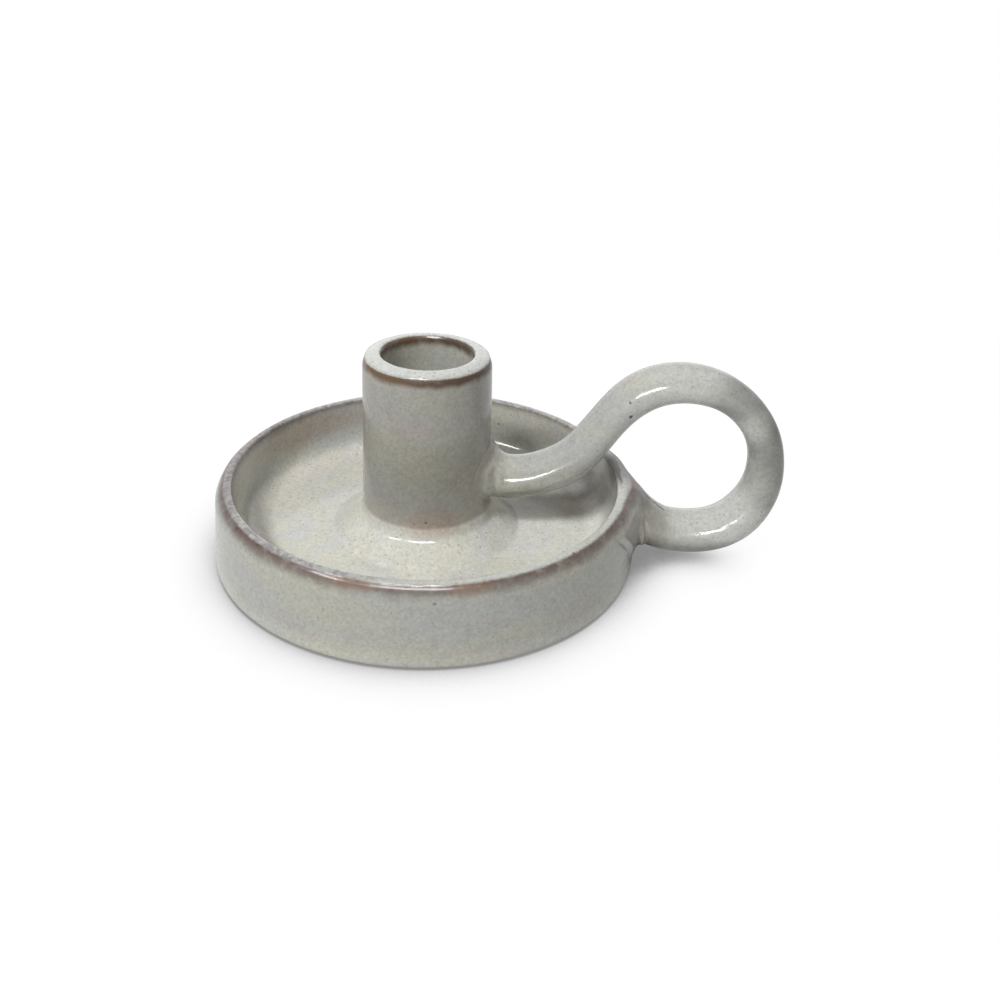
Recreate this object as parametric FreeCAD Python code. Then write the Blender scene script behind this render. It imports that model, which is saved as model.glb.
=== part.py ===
# Stoneware chamberstick with a finger loop.
# Millimetres. +Z is up, z = 0 is the table, the Z axis is the candle's axis and +X points along the handle.
import FreeCAD
import Part
import math
import os

# Dish, thrown
dish_base_radius = 55.4
dish_shoulder_radius = 54.0
dish_height = 20.8
dish_base_round = 1.4
dish_wall_thickness = 4.5
dish_floor_thickness = 5.6
dish_cove_radius = 7.5

# Dish rim: the outside turns in over a soft shoulder, the inside has a small round
rim_shoulder_rise = 4.0
rim_inner_round = 0.9
rim_shoulder_shares = (
    (0.083, 0.300),
    (0.236, 0.600),
    (0.430, 0.812),
    (0.583, 0.912),
    (0.806, 0.980),
)

# Candle socket, thrown
socket_height = 54.0
socket_lip_radius = 16.0
socket_foot_radius = 17.0
candle_bore_radius = 11.1
candle_bore_depth = 42.0
bore_bottom_round = 2.0

# Socket lip
lip_shoulder_rise = 3.4
lip_inner_round = 1.2
lip_shoulder_shares = (
    (0.030, 0.320),
    (0.130, 0.610),
    (0.300, 0.810),
    (0.500, 0.910),
    (0.760, 0.980),
)

# Handle, one rolled rod
handle_rod_radius = 5.9
handle_overhang = 31.1
handle_crest_height = 49.7
handle_low_height = 7.9
handle_root_embed = 3.2
handle_tail_embed_share = 0.55

# Stations of the rod from the socket to the far side of the loop:
# share of the reach, share of the rise, share of the rod's radius
strand_shares = (
    (0.000, 0.356, 1.034),
    (0.087, 0.313, 1.000),
    (0.174, 0.326, 0.966),
    (0.257, 0.380, 0.947),
    (0.334, 0.468, 0.929),
    (0.393, 0.600, 0.873),
    (0.448, 0.746, 0.853),
    (0.510, 0.875, 0.876),
    (0.584, 0.965, 0.890),
    (0.672, 1.000, 0.861),
    (0.764, 0.985, 0.812),
    (0.849, 0.923, 0.753),
    (0.922, 0.818, 0.705),
    (0.972, 0.686, 0.720),
    (0.998, 0.532, 0.786),
    (0.999, 0.374, 0.868),
)

# Stations of the rod from the far side of the loop back to the dish wall
return_shares = (
    (0.945, 0.230, 0.942),
    (0.842, 0.108, 0.997),
    (0.695, 0.029, 1.000),
    (0.512, 0.000, 0.976),
    (0.300, 0.014, 0.964),
    (0.157, 0.055, 0.966),
    (0.000, 0.093, 0.966),
)

# Slip worked round the joints
foot_slip_rise = 8.5
foot_slip_spread = 8.2
slip_edge_thickness = 0.3

root_slip_flare = 2.0
root_slip_reach = 7.4
root_slip_shares = (
    (0.00, 1.00),
    (0.27, 0.86),
    (0.44, 0.60),
    (0.62, 0.30),
    (0.80, 0.10),
    (1.00, 0.00),
)

# Pad of clay from the rod's end over the outside of the wall
pad_reach = 9.0
pad_half_width = 28.0
pad_half_height = 8.8
pad_centre_height = 10.9

# Stations of the pad: shares of its reach from the wall, of the growth of its half width and half height from
# the rod's, of the way to its centre height, and of the change from a round section to the fan
pad_shares = (
    (1.000, 0.000, 0.000, 0.00, 0.0),
    (0.750, 0.007, 0.040, 0.20, 0.0),
    (0.451, 0.030, 0.360, 0.70, 0.1),
    (0.240, 0.060, 0.785, 0.88, 0.3),
    (0.096, 0.150, 0.860, 0.94, 0.6),
    (-0.060, 0.295, 0.890, 1.00, 0.9),
    (-0.271, 0.495, 0.960, 1.00, 1.0),
    (-0.567, 0.740, 1.000, 1.00, 1.0),
    (-0.950, 1.000, 1.000, 1.00, 1.0),
)

# Half of the fan's section, from its top to its bottom: shares of the half width and half height
pad_fan_shares = (
    (0.00, 1.00),
    (0.52, 0.96),
    (0.92, 0.78),
    (0.96, 0.30),
    (0.68, -0.30),
    (0.36, -0.80),
    (0.00, -1.00),
)

half = 0.5
full_turn_degrees = 360.0
up = FreeCAD.Vector(0, 0, 1)
across = FreeCAD.Vector(0, 1, 0)
origin = FreeCAD.Vector(0, 0, 0)


def between(start, end, share):
    """The value that lies a share of the way from start to end."""
    return start + (end - start) * share


def flat(radius, height):
    """A point of the XZ plane."""
    return FreeCAD.Vector(radius, 0, height)


def line(start, end):
    """A straight edge."""
    return Part.LineSegment(start, end).toShape()


def quarter(start, end, centre):
    """A quarter-turn edge from start to end about centre."""
    middle = (start + end) * half - centre
    middle.normalize()
    bulge = centre + middle * (start - centre).Length
    return Part.Arc(start, bulge, end).toShape()


def spline(points, first_tangent, last_tangent):
    """A smooth edge through points, with its end directions given."""
    curve = Part.BSplineCurve()
    curve.interpolate(Points=points, InitialTangent=first_tangent, FinalTangent=last_tangent)
    return curve.toShape()


def turned(edges):
    """The solid that a closed outline makes when it turns about the Z axis."""
    face = Part.Face(Part.Wire(edges))
    solid = face.revolve(origin, up, full_turn_degrees)
    return Part.Solid(solid) if solid.ShapeType == "Shell" else solid


def shoulder(radius, height, inset, rise, shares):
    """The soft outer edge of a rim, from its wall up and in to its crest."""
    start = flat(radius, height - rise)
    crest = flat(radius - inset, height)
    points = [start]
    for inward, upward in shares:
        points.append(flat(radius - inset * inward, height - rise + rise * upward))
    points.append(crest)
    return spline(points, up, flat(-inset, 0)), start, crest


def dish_wall_inner():
    """The inside radius of the dish wall."""
    return dish_shoulder_radius - dish_wall_thickness


def dish_wall_radius(height):
    """The outside radius of the dish's leaning wall at a height."""
    top = dish_height - rim_shoulder_rise
    share = (height - dish_base_round) / (top - dish_base_round)
    return between(dish_base_radius, dish_shoulder_radius, share)


def dish_outside():
    """Edges of the dish's outside from the middle of its base to its crest, and the crest."""
    inset = dish_wall_thickness - rim_inner_round
    rim, wall_top, crest = shoulder(
        dish_shoulder_radius, dish_height, inset, rim_shoulder_rise, rim_shoulder_shares
    )
    base_edge = flat(dish_base_radius - dish_base_round, 0)
    wall_foot = flat(dish_base_radius, dish_base_round)
    base_round_centre = flat(dish_base_radius - dish_base_round, dish_base_round)
    edges = [
        line(origin, base_edge),
        quarter(base_edge, wall_foot, base_round_centre),
        line(wall_foot, wall_top),
        rim,
    ]
    return edges, crest


def make_dish():
    """Thrown dish: flat base, upright wall, soft rim, coved inside corner."""
    edges, crest = dish_outside()
    inner = dish_wall_inner()
    inner_top = flat(inner, dish_height - rim_inner_round)
    inner_round_centre = flat(inner + rim_inner_round, dish_height - rim_inner_round)
    cove_top = flat(inner, dish_floor_thickness + dish_cove_radius)
    cove_foot = flat(inner - dish_cove_radius, dish_floor_thickness)
    cove_centre = flat(inner - dish_cove_radius, dish_floor_thickness + dish_cove_radius)
    floor_centre = flat(0, dish_floor_thickness)
    edges += [
        quarter(crest, inner_top, inner_round_centre),
        line(inner_top, cove_top),
        quarter(cove_top, cove_foot, cove_centre),
        line(cove_foot, floor_centre),
        line(floor_centre, origin),
    ]
    return turned(edges)


def make_dish_envelope():
    """The dish's outside as a full solid, to end the pieces that lie against its wall."""
    edges, crest = dish_outside()
    top_centre = flat(0, dish_height)
    edges += [line(crest, top_centre), line(top_centre, origin)]
    return turned(edges)


def socket_wall_radius(height):
    """The outside radius of the socket's tapered wall at a height."""
    top = socket_height - lip_shoulder_rise
    share = (height - dish_floor_thickness) / (top - dish_floor_thickness)
    return between(socket_foot_radius, socket_lip_radius, share)


def socket_outside():
    """Edges of the socket's outside from its foot to its crest, and the crest."""
    inset = socket_lip_radius - candle_bore_radius - lip_inner_round
    lip, wall_top, crest = shoulder(
        socket_lip_radius, socket_height, inset, lip_shoulder_rise, lip_shoulder_shares
    )
    foot_centre = flat(0, dish_floor_thickness)
    foot_edge = flat(socket_foot_radius, dish_floor_thickness)
    return [line(foot_centre, foot_edge), line(foot_edge, wall_top), lip], crest


def make_socket():
    """Thrown socket for the candle, with a blind bore and a thick soft lip."""
    edges, crest = socket_outside()
    bottom = socket_height - candle_bore_depth
    bore_top = flat(candle_bore_radius, socket_height - lip_inner_round)
    lip_centre = flat(candle_bore_radius + lip_inner_round, socket_height - lip_inner_round)
    bore_low = flat(candle_bore_radius, bottom + bore_bottom_round)
    bore_round_centre = flat(candle_bore_radius - bore_bottom_round, bottom + bore_bottom_round)
    bore_floor = flat(candle_bore_radius - bore_bottom_round, bottom)
    bore_centre = flat(0, bottom)
    edges += [
        quarter(crest, bore_top, lip_centre),
        line(bore_top, bore_low),
        quarter(bore_low, bore_floor, bore_round_centre),
        line(bore_floor, bore_centre),
        line(bore_centre, flat(0, dish_floor_thickness)),
    ]
    return turned(edges)


def make_socket_envelope():
    """The socket's outside as a full solid, to end the pieces that lie against it."""
    edges, crest = socket_outside()
    top_centre = flat(0, socket_height)
    edges += [line(crest, top_centre), line(top_centre, flat(0, dish_floor_thickness))]
    return turned(edges)


def make_foot_slip():
    """Ring of slip that fills the corner between the socket and the dish floor."""
    top_height = dish_floor_thickness + foot_slip_rise
    wall_radius = socket_wall_radius(top_height)
    inner_foot = flat(socket_foot_radius, dish_floor_thickness)
    outer_radius = socket_foot_radius + foot_slip_spread
    outer_foot = flat(outer_radius, dish_floor_thickness)
    outer_top = flat(outer_radius, dish_floor_thickness + slip_edge_thickness)
    upper_outer = flat(wall_radius + slip_edge_thickness, top_height)
    upper_inner = flat(wall_radius, top_height)
    middle = foot_slip_middle(outer_top, upper_outer)
    hollow = spline([outer_top, middle, upper_outer], flat(-foot_slip_spread, 0), up)
    edges = [
        line(inner_foot, outer_foot),
        line(outer_foot, outer_top),
        hollow,
        line(upper_outer, upper_inner),
        line(upper_inner, inner_foot),
    ]
    return turned(edges)


def foot_slip_middle(outer_top, upper_outer):
    """The middle of the hollow: where a quarter turn between its two ends passes."""
    reach = 1 - math.sqrt(half)
    radius = between(upper_outer.x, outer_top.x, reach)
    height = between(outer_top.z, upper_outer.z, reach)
    return flat(radius, height)


def handle_stations():
    """Places and radii along the middle line of the rod, from the socket to the wall."""
    root_height = between(handle_low_height, handle_crest_height, strand_shares[0][1])
    tail_height = between(handle_low_height, handle_crest_height, return_shares[-1][1])
    root = socket_wall_radius(root_height) - handle_root_embed
    far = dish_base_radius + handle_overhang
    tail = dish_wall_radius(tail_height) - dish_wall_thickness * handle_tail_embed_share
    stations = []
    for along, rise, thick in strand_shares:
        height = between(handle_low_height, handle_crest_height, rise)
        stations.append((flat(between(root, far, along), height), handle_rod_radius * thick))
    for along, rise, thick in return_shares:
        height = between(handle_low_height, handle_crest_height, rise)
        stations.append((flat(between(tail, far, along), height), handle_rod_radius * thick))
    return stations


def handle_line(stations):
    """The smooth middle line of the rod."""
    curve = Part.BSplineCurve()
    curve.interpolate(Points=[place for place, radius in stations])
    return curve


def ring_at(centre, direction, radius):
    """A round section square to the rod, with its seam on the same side everywhere."""
    circle = Part.Circle(centre, direction, radius)
    circle.XAxis = across
    return Part.Wire(circle.toShape())


def make_rod():
    """The rod by itself, before its ends are fitted to the socket and the wall."""
    stations = handle_stations()
    curve = handle_line(stations)
    rings = []
    for place, radius in stations:
        direction = curve.tangent(curve.parameter(place))[0]
        rings.append(ring_at(place, direction, radius))
    return Part.makeLoft(rings, True, False)


def rod_at(curve, stations, distance):
    """Place, direction and radius of the rod at a distance from its root."""
    parameter = curve.parameterAtDistance(distance, curve.FirstParameter)
    place = curve.value(parameter)
    gaps = [((place - spot).Length, radius) for spot, radius in stations]
    return place, curve.tangent(parameter)[0], min(gaps)[1]


def make_root_slip():
    """Collar of slip that flares from the rod on to the socket."""
    stations = handle_stations()
    curve = handle_line(stations)
    rings = []
    for along, flare in root_slip_shares:
        place, direction, radius = rod_at(curve, stations, root_slip_reach * along)
        width = radius + slip_edge_thickness + root_slip_flare * flare
        rings.append(ring_at(place, direction, width))
    return Part.makeLoft(rings, True, False)


def pad_section(place, half_width, half_height, fan):
    """A closed section square to X that goes from an oval to the fan as its last share grows."""
    steps = len(pad_fan_shares) - 1
    right = []
    for index, (wide, high) in enumerate(pad_fan_shares):
        angle = math.pi * index / steps
        offset = half_width * between(math.sin(angle), wide, fan)
        height = half_height * between(math.cos(angle), high, fan)
        right.append((offset, height))
    left = [(-offset, height) for offset, height in reversed(right[1:-1])]
    points = [place + FreeCAD.Vector(0, offset, height) for offset, height in right + left]
    curve = Part.BSplineCurve()
    curve.interpolate(Points=points, PeriodicFlag=True)
    return Part.Wire(curve.toShape())


def make_pad():
    """Pad of clay that spreads from the rod's end over the outside of the wall."""
    wall = dish_wall_radius(pad_centre_height)
    end = wall + pad_reach
    lower_rod = handle_stations()[len(strand_shares):]
    rod_place, rod_radius = min(lower_rod, key=lambda station: abs(station[0].x - end))
    radius = rod_radius + slip_edge_thickness
    sections = []
    for along, wide, high, centre, fan in pad_shares:
        distance = wall + pad_reach * along
        place = flat(distance, between(rod_place.z, pad_centre_height, centre))
        half_width = between(radius, pad_half_width, wide)
        half_height = between(radius, pad_half_height, high)
        sections.append(pad_section(place, half_width, half_height, fan))
    return Part.makeLoft(sections, True, False)


def largest(shape):
    """The largest solid of a cut's result."""
    return max(shape.Solids, key=lambda solid: solid.Volume)


def build():
    """Every piece, by its name."""
    dish = make_dish()
    socket = make_socket()
    envelope = make_socket_envelope()
    foot_slip = make_foot_slip()
    handle = largest(make_rod().cut(envelope).cut(dish).cut(foot_slip))
    root_slip = largest(make_root_slip().cut(envelope).cut(handle).cut(foot_slip))
    pad = largest(make_pad().cut(make_dish_envelope()).cut(handle))
    return {
        "dish": dish,
        "candle_socket": socket,
        "socket_foot_slip": foot_slip,
        "handle_loop": handle,
        "handle_root_slip": root_slip,
        "handle_wall_pad": pad,
    }


def main():
    """Build the pieces and write each to its own file."""
    os.makedirs("parts", exist_ok=True)
    pieces = build()
    for name, shape in pieces.items():
        box = shape.BoundBox
        print(name, shape.ShapeType, shape.isValid(), round(shape.Volume), len(shape.Faces),
              [round(v, 2) for v in (box.XMin, box.XMax, box.YMin, box.YMax, box.ZMin, box.ZMax)])
        shape.exportStep(os.path.join("parts", name + ".step"))
    names = list(pieces)
    for index, first in enumerate(names):
        for second in names[index + 1:]:
            common = pieces[first].common(pieces[second]).Volume
            if common > 0:
                print("common", first, second, round(common, 3))


main()
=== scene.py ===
"""Stoneware chamberstick with a finger loop.

A thrown dish and candle socket, the slip worked round their joints and one rolled handle, dressed in a
pooled off-white glaze that breaks brown over the edges, on a pale table in soft light. Lengths are
millimetres until a mesh is made, except where a class says metres. +Z is up and +X points along the handle.
"""

from __future__ import annotations

import logging
import math
from dataclasses import dataclass, field
from enum import Enum
from functools import partial
from typing import Any, Callable, Mapping, Sequence

import bpy
import numpy as np
from mathutils import Matrix, Vector

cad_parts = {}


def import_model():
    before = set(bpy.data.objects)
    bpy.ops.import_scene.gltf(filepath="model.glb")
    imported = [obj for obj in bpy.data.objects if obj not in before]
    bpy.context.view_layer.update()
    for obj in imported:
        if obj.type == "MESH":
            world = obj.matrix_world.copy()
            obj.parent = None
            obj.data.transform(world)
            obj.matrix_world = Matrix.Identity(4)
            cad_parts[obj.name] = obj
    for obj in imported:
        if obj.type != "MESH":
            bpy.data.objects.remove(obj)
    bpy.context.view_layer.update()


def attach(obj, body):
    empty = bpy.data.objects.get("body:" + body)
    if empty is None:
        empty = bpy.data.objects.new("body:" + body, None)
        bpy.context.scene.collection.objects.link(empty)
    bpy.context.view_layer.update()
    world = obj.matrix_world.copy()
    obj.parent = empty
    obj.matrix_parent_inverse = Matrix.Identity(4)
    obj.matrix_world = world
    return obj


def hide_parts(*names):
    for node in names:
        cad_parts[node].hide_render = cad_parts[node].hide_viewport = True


LOG = logging.getLogger("chamberstick")
MM = 0.001
TURN = 2.0 * math.pi
BODY = "root"

Pair = tuple[float, float]
Point = tuple[float, float, float]
Tone = tuple[float, float, float, float]
Piece = bpy.types.Object
Measure = Callable[[np.ndarray], np.ndarray]

WHITE: Tone = (1.0, 1.0, 1.0, 1.0)
BLACK: Tone = (0.0, 0.0, 0.0, 1.0)


# Colour and nodes.


def paint(red: float, green: float, blue: float) -> Tone:
    """Turns a display colour, 0 to 255, into the linear colour that a shader takes."""
    shares = (value / 255.0 for value in (red, green, blue))
    return (*(s / 12.92 if s <= 0.04045 else ((s + 0.055) / 1.055) ** 2.4 for s in shares), 1.0)


def maths(operation: str, turned: bool = False) -> Callable[..., Wire]:
    """Makes a method of a wire that adds one Math node.

    Args:
        operation: Blender's name for what the node works out.
        turned: Whether the wire comes last, as in 1 - wire.

    Returns:
        The method.
    """

    def method(wire: Wire, *others: Wire | float) -> Wire:
        """Adds the node over the wire and the other values."""
        values = (*others, wire) if turned else (wire, *others)
        return wire.bench.node("ShaderNodeMath", {"operation": operation}, dict(enumerate(values)))

    return method


class Wire:
    """One value in a node tree. Python's operators on it add the Math nodes that work it out."""

    __add__ = maths("ADD")
    __radd__ = maths("ADD", turned=True)
    __sub__ = maths("SUBTRACT")
    __rsub__ = maths("SUBTRACT", turned=True)
    __mul__ = maths("MULTIPLY")
    __rmul__ = maths("MULTIPLY", turned=True)
    __truediv__ = maths("DIVIDE")
    __pow__ = maths("POWER")
    larger = maths("MAXIMUM")
    smaller = maths("MINIMUM")
    size = maths("ABSOLUTE")
    sine = maths("SINE")
    cosine = maths("COSINE")

    def __init__(self, bench: Bench, socket: bpy.types.NodeSocket) -> None:
        """Wraps a socket of a node on a bench."""
        self.bench = bench
        self.socket = socket

    def eased(self, start: Wire | float, end: Wire | float) -> Wire:
        """Grows softly from 0 to 1 as this goes from start to end; end may be the smaller."""
        sockets = {"Value": self, "From Min": start, "From Max": end}
        return self.bench.node("ShaderNodeMapRange", {"interpolation_type": "SMOOTHSTEP"}, sockets)

    def output(self, name: str) -> Wire:
        """Another output of the node that this value comes from."""
        return Wire(self.bench, self.socket.node.outputs[name])


class Bench:
    """Adds nodes to one tree, of a material, of a world or of geometry."""

    def __init__(self, tree: bpy.types.NodeTree) -> None:
        """Takes the tree to work on."""
        self.tree = tree

    @classmethod
    def of(cls, owner: bpy.types.Material | bpy.types.World) -> Bench:
        """Takes the shader tree of a material or a world, emptied.

        Args:
            owner: The material or the world.

        Returns:
            The bench.
        """
        owner.use_nodes = True
        owner.node_tree.nodes.clear()
        return cls(owner.node_tree)

    def node(
        self,
        kind: str,
        settings: Mapping[str, Any] | None = None,
        sockets: Mapping[Any, Any] | None = None,
        output: int | str = 0,
    ) -> Wire:
        """Adds one node, sets it, then fills its sockets.

        Args:
            kind: Blender's name for the type of node.
            settings: Properties, set first.
            sockets: Values or wires by socket name, identifier or number.
            output: Name or number of the output that the wire is on.

        Returns:
            A wire on that output, or on the first input of a node that ends a tree.
        """
        made = self.tree.nodes.new(kind)
        for name, value in (settings or {}).items():
            setattr(made, name, value)
        named = {socket.identifier: socket for socket in made.inputs}
        for key, value in (sockets or {}).items():
            socket = named[key] if key in named else made.inputs[key]
            if isinstance(value, Wire):
                self.tree.links.new(value.socket, socket)
            else:
                socket.default_value = value
        return Wire(self, made.outputs[output] if made.outputs else made.inputs[0])

    def split(self, vector: Wire) -> Wire:
        """Takes a vector apart: this is its X, and its Y and Z are the same node's other outputs."""
        return self.node("ShaderNodeSeparateXYZ", None, {0: vector}, "X")

    def vector(self, operation: str, *values: Any, output: str = "Vector") -> Wire:
        """Adds a Vector Math node over some values."""
        sockets = {("Scale" if operation == "SCALE" and i else i): v for i, v in enumerate(values)}
        return self.node("ShaderNodeVectorMath", {"operation": operation}, sockets, output)

    def mixed(self, share: Wire | float, first: Any, second: Any, way: str = "MIX") -> Wire:
        """Mixes two colours, wires or plain, with a share of the second, in one of Blender's ways."""
        sockets = {"Factor_Float": share, "A_Color": first, "B_Color": second}
        return self.node("ShaderNodeMix", {"data_type": "RGBA", "blend_type": way}, sockets, 2)

    def tinted(self, share: Wire | float, colour: Wire, tone: Any) -> Wire:
        """Multiplies a share of a colour by a tone."""
        return self.mixed(share, colour, self.mixed(1.0, colour, tone, "MULTIPLY"))

    def cloud(
        self, place: Wire, per_mm: float, detail: float, seed: Wire | float, warp: float = 0.0
    ) -> Wire:
        """Adds a soft noise that is the same wherever its place is the same.

        Args:
            place: Position in millimetres.
            per_mm: Lumps to a millimetre.
            detail: Number of finer layers.
            seed: Picks the pattern.
            warp: How far the pattern is bent.

        Returns:
            A value near a half, between 0 and 1.
        """
        sockets = {"Vector": place, "W": seed, "Scale": per_mm, "Detail": detail, "Distortion": warp}
        return self.node("ShaderNodeTexNoise", {"noise_dimensions": "4D"}, sockets)

    def seen_as(self, shown: Wire, plain: Wire) -> Wire:
        """Shows one shader to the eye, while the light that bounces meets the plain one."""
        path = self.node("ShaderNodeLightPath")
        return self.node("ShaderNodeMixShader", None, {0: path, 1: plain, 2: shown})


# Where the glaze runs thin.


@dataclass(frozen=True)
class EdgeBand:
    """A band round an edge of a turned piece from which the glaze has crept back.

    It starts at a point of the outline and runs down from there; the glaze stands in a small bead along
    its start. Side is 1 on the outside of a wall and -1 on the inside.
    """

    radius: float
    height: float
    width: float
    side: float
    wander: float
    depth: float
    bead: float = 0.0
    reach: float = 3.4
    lean: float = 0.35
    inward: Pair = (-1.3, -0.6)

    def run(self, radius: Wire, height: Wire) -> Wire:
        """How far a point is down the band, in millimetres, and below zero before it starts."""
        return (self.height - height) + (radius - self.radius) * (self.lean * self.side)

    def near(self, radius: Wire) -> Wire:
        """Share that keeps the band on its own side of its own wall."""
        away = (radius - self.radius) * self.side
        return away.eased(*self.inward) * away.eased(self.reach + 1.0, self.reach)


RIM_BAND = EdgeBand(radius=51.75, height=20.5, width=3.0, side=1.0, wander=1.6, depth=0.13, bead=0.06)
RIM_INNER_BAND = EdgeBand(radius=49.75, height=20.6, width=1.3, side=-1.0, wander=0.9, depth=0.03, reach=1.0)
LIP_BAND = EdgeBand(radius=15.45, height=52.85, width=2.1, side=1.0, wander=0.9, depth=0.12, bead=0.05)
LIP_INNER_BAND = EdgeBand(radius=11.7, height=53.8, width=2.5, side=-1.0, wander=0.8, depth=0.06, reach=1.0)
EDGE_BANDS = (RIM_BAND, RIM_INNER_BAND, LIP_BAND, LIP_INNER_BAND)


class GlazeMap:
    """Works out from a place in space how the glaze lies there, for the shapes and the colours alike."""

    ragged: float = 0.5
    soft_end: Pair = (-0.9, 1.1)
    bead_run: float = -0.3
    bead_width: float = 0.6

    def __init__(self, bench: Bench, place: Wire) -> None:
        """Measures the place and adds the noises that every rule shares.

        Args:
            bench: Where the nodes go.
            place: The place in millimetres.
        """
        self.bench = bench
        self.place = place
        self.x = bench.split(place)
        self.y = self.x.output("Y")
        self.height = self.x.output("Z")
        self.radius = (self.x * self.x + self.y * self.y) ** 0.5
        self.edge_noise = bench.cloud(place, 0.33, 3.0, 4.0)
        self.fine_noise = bench.cloud(place, 1.7, 2.0, 9.0)

    def distance(self, point: Point) -> Wire:
        """Distance of the place from a point."""
        return self.bench.vector("DISTANCE", self.place, point, output="Value")

    def run(self, band: EdgeBand) -> Wire:
        """How far the place is down a band, frayed a little."""
        return band.run(self.radius, self.height) + (self.fine_noise - 0.5) * self.ragged

    def thin(self, band: EdgeBand, soft_start: float) -> Wire:
        """Share of thin glaze in a band.

        Args:
            band: The band.
            soft_start: Width over which it starts.

        Returns:
            1 in the band, 0 away from it.
        """
        run = self.run(band)
        starts = run.eased(-soft_start * 0.5, soft_start * 0.5)
        end = (self.edge_noise - 0.5) * (2.0 * band.wander) + band.width
        return starts * (end - run).eased(*self.soft_end) * band.near(self.radius)

    def swell(self, band: EdgeBand) -> Wire:
        """Share of the small bead in which the glaze stands before a band."""
        hump = 1.0 - ((self.run(band) - self.bead_run) / self.bead_width).size().smaller(1.0)
        return hump.eased(0.0, 1.0) * band.near(self.radius)


@dataclass(frozen=True)
class Zone:
    """A part of the object, told by the radii and heights between which each of its edges fades in."""

    radius: tuple[Pair, ...]
    height: tuple[Pair, ...] = ()

    def share(self, glaze: GlazeMap) -> Wire:
        """Share of the zone at a place.

        Args:
            glaze: Where the place is.

        Returns:
            1 in it, 0 away from it.
        """
        edges = [glaze.radius.eased(*pair) for pair in self.radius]
        edges += [glaze.height.eased(*pair) for pair in self.height]
        return math.prod(edges[1:], start=edges[0])


RINGED_WALL = Zone(radius=((17.2, 18.5),), height=((1.0, 4.0), (18.0, 15.5)))
RINGED_SOCKET = Zone(radius=((16.4, 15.8),), height=((50.0, 47.0),))
DISH_WALL = Zone(radius=((52.0, 53.0), (57.0, 56.0)), height=((22.0, 20.8),))
DISH_FLOOR = Zone(radius=((48.9, 46.0),), height=((11.5, 8.0),))
FOOT_SLOPE = Zone(radius=((27.0, 25.0),), height=((13.9, 12.7),))
WALL_FOOT = Zone(radius=((50.0, 52.0),), height=((6.0, 2.0),))
ROD_ABOVE_RIM = Zone(radius=((40.0, 68.0),), height=((21.0, 24.0),))
ROD_OUTSIDE = Zone(radius=((57.0, 70.0),))
# The crests of rim and lip take a paler tone: thick white glaze, with painted light on the tops.
RIM_CREST = Zone(radius=((48.0, 49.6), (52.3, 51.7)), height=((20.2, 20.7), (22.2, 21.2)))
LIP_CREST = Zone(radius=((18.0, 17.0),), height=((52.9, 53.6),))
SOCKET_WALL = Zone(radius=((18.0, 17.2), (13.5, 14.5)), height=((11.0, 19.0), (53.0, 51.5)))
SOCKET_FOOT = Zone(radius=((17.7, 17.3),), height=((12.8, 13.9), (19.0, 15.0)))
# The rim's crest, whose left and back are darkened as painted shade.
SHADED_RIM = Zone(radius=((47.5, 49.0), (54.0, 53.0)), height=((19.6, 20.3), (22.2, 21.2)))


# Lines and clay.


def run_through(
    points: Sequence[Sequence[float]],
    count: int,
    start: Pair | None = None,
    end: Pair | None = None,
) -> np.ndarray:
    """Draws a smooth line through points.

    Args:
        points: Rows of coordinates; the first two give the spacing, and any more follow along.
        count: How many points to return.
        start: Direction at the first point, or None to leave it free.
        end: Direction at the last point, or None to leave it free.

    Returns:
        The line's points, one row each.
    """
    rows = np.asarray(points, float)
    gaps = np.linalg.norm(np.diff(rows[:, :2], axis=0), axis=1)
    knots = np.concatenate([[0.0], np.cumsum(gaps)])
    size = len(rows)
    left, right = np.zeros((size, size)), np.zeros_like(rows)
    for i in range(1, size - 1):
        before, after = gaps[i - 1], gaps[i]
        left[i, i - 1 : i + 2] = (1 / before, 2 * (1 / before + 1 / after), 1 / after)
        right[i] = 3 * ((rows[i] - rows[i - 1]) / before**2 + (rows[i + 1] - rows[i]) / after**2)
    for i, j, direction, gap in ((0, 1, start, gaps[0]), (size - 1, size - 2, end, gaps[-1])):
        if direction is None:
            left[i, i], left[i, j] = 2.0, 1.0
            right[i] = 3 * (rows[max(i, j)] - rows[min(i, j)]) / gap
        else:
            left[i, i] = 1.0
            right[i, : len(direction)] = direction
    slopes = np.linalg.solve(left, right)
    at = np.linspace(0.0, knots[-1], count)
    which = np.clip(np.searchsorted(knots, at, side="right") - 1, 0, size - 2)
    gap = gaps[which][:, None]
    t = (at - knots[which])[:, None] / gap
    a, b = rows[which], rows[which + 1]
    m, n = slopes[which] * gap, slopes[which + 1] * gap
    leaving = (2 * t**3 - 3 * t**2 + 1) * a + (t**3 - 2 * t**2 + t) * m
    return leaving + (3 * t**2 - 2 * t**3) * b + (t**3 - t**2) * n


def straight(start: Sequence[float], end: Sequence[float], count: int) -> np.ndarray:
    """Points along a straight line, both ends included."""
    return np.linspace(np.asarray(start, float), np.asarray(end, float), count)


def arc(centre: Pair, radius: float, start: float, end: float, count: int) -> np.ndarray:
    """Points along an arc from one angle to another, in degrees."""
    angles = np.radians(np.linspace(start, end, count))
    return np.stack([centre[0] + radius * np.cos(angles), centre[1] + radius * np.sin(angles)], -1)


def joined(*runs: np.ndarray) -> np.ndarray:
    """Joins runs of points end to end, without the doubled points."""
    rows = np.concatenate(runs)
    return rows[np.concatenate([[True], np.linalg.norm(np.diff(rows, axis=0), axis=1) > 1e-6])]


def stood_up(rows: np.ndarray) -> np.ndarray:
    """Puts points, whose first two columns are the radius and the height, into the XZ plane."""
    return np.stack([rows[:, 0], np.zeros(len(rows)), rows[:, 1]], -1)


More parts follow.
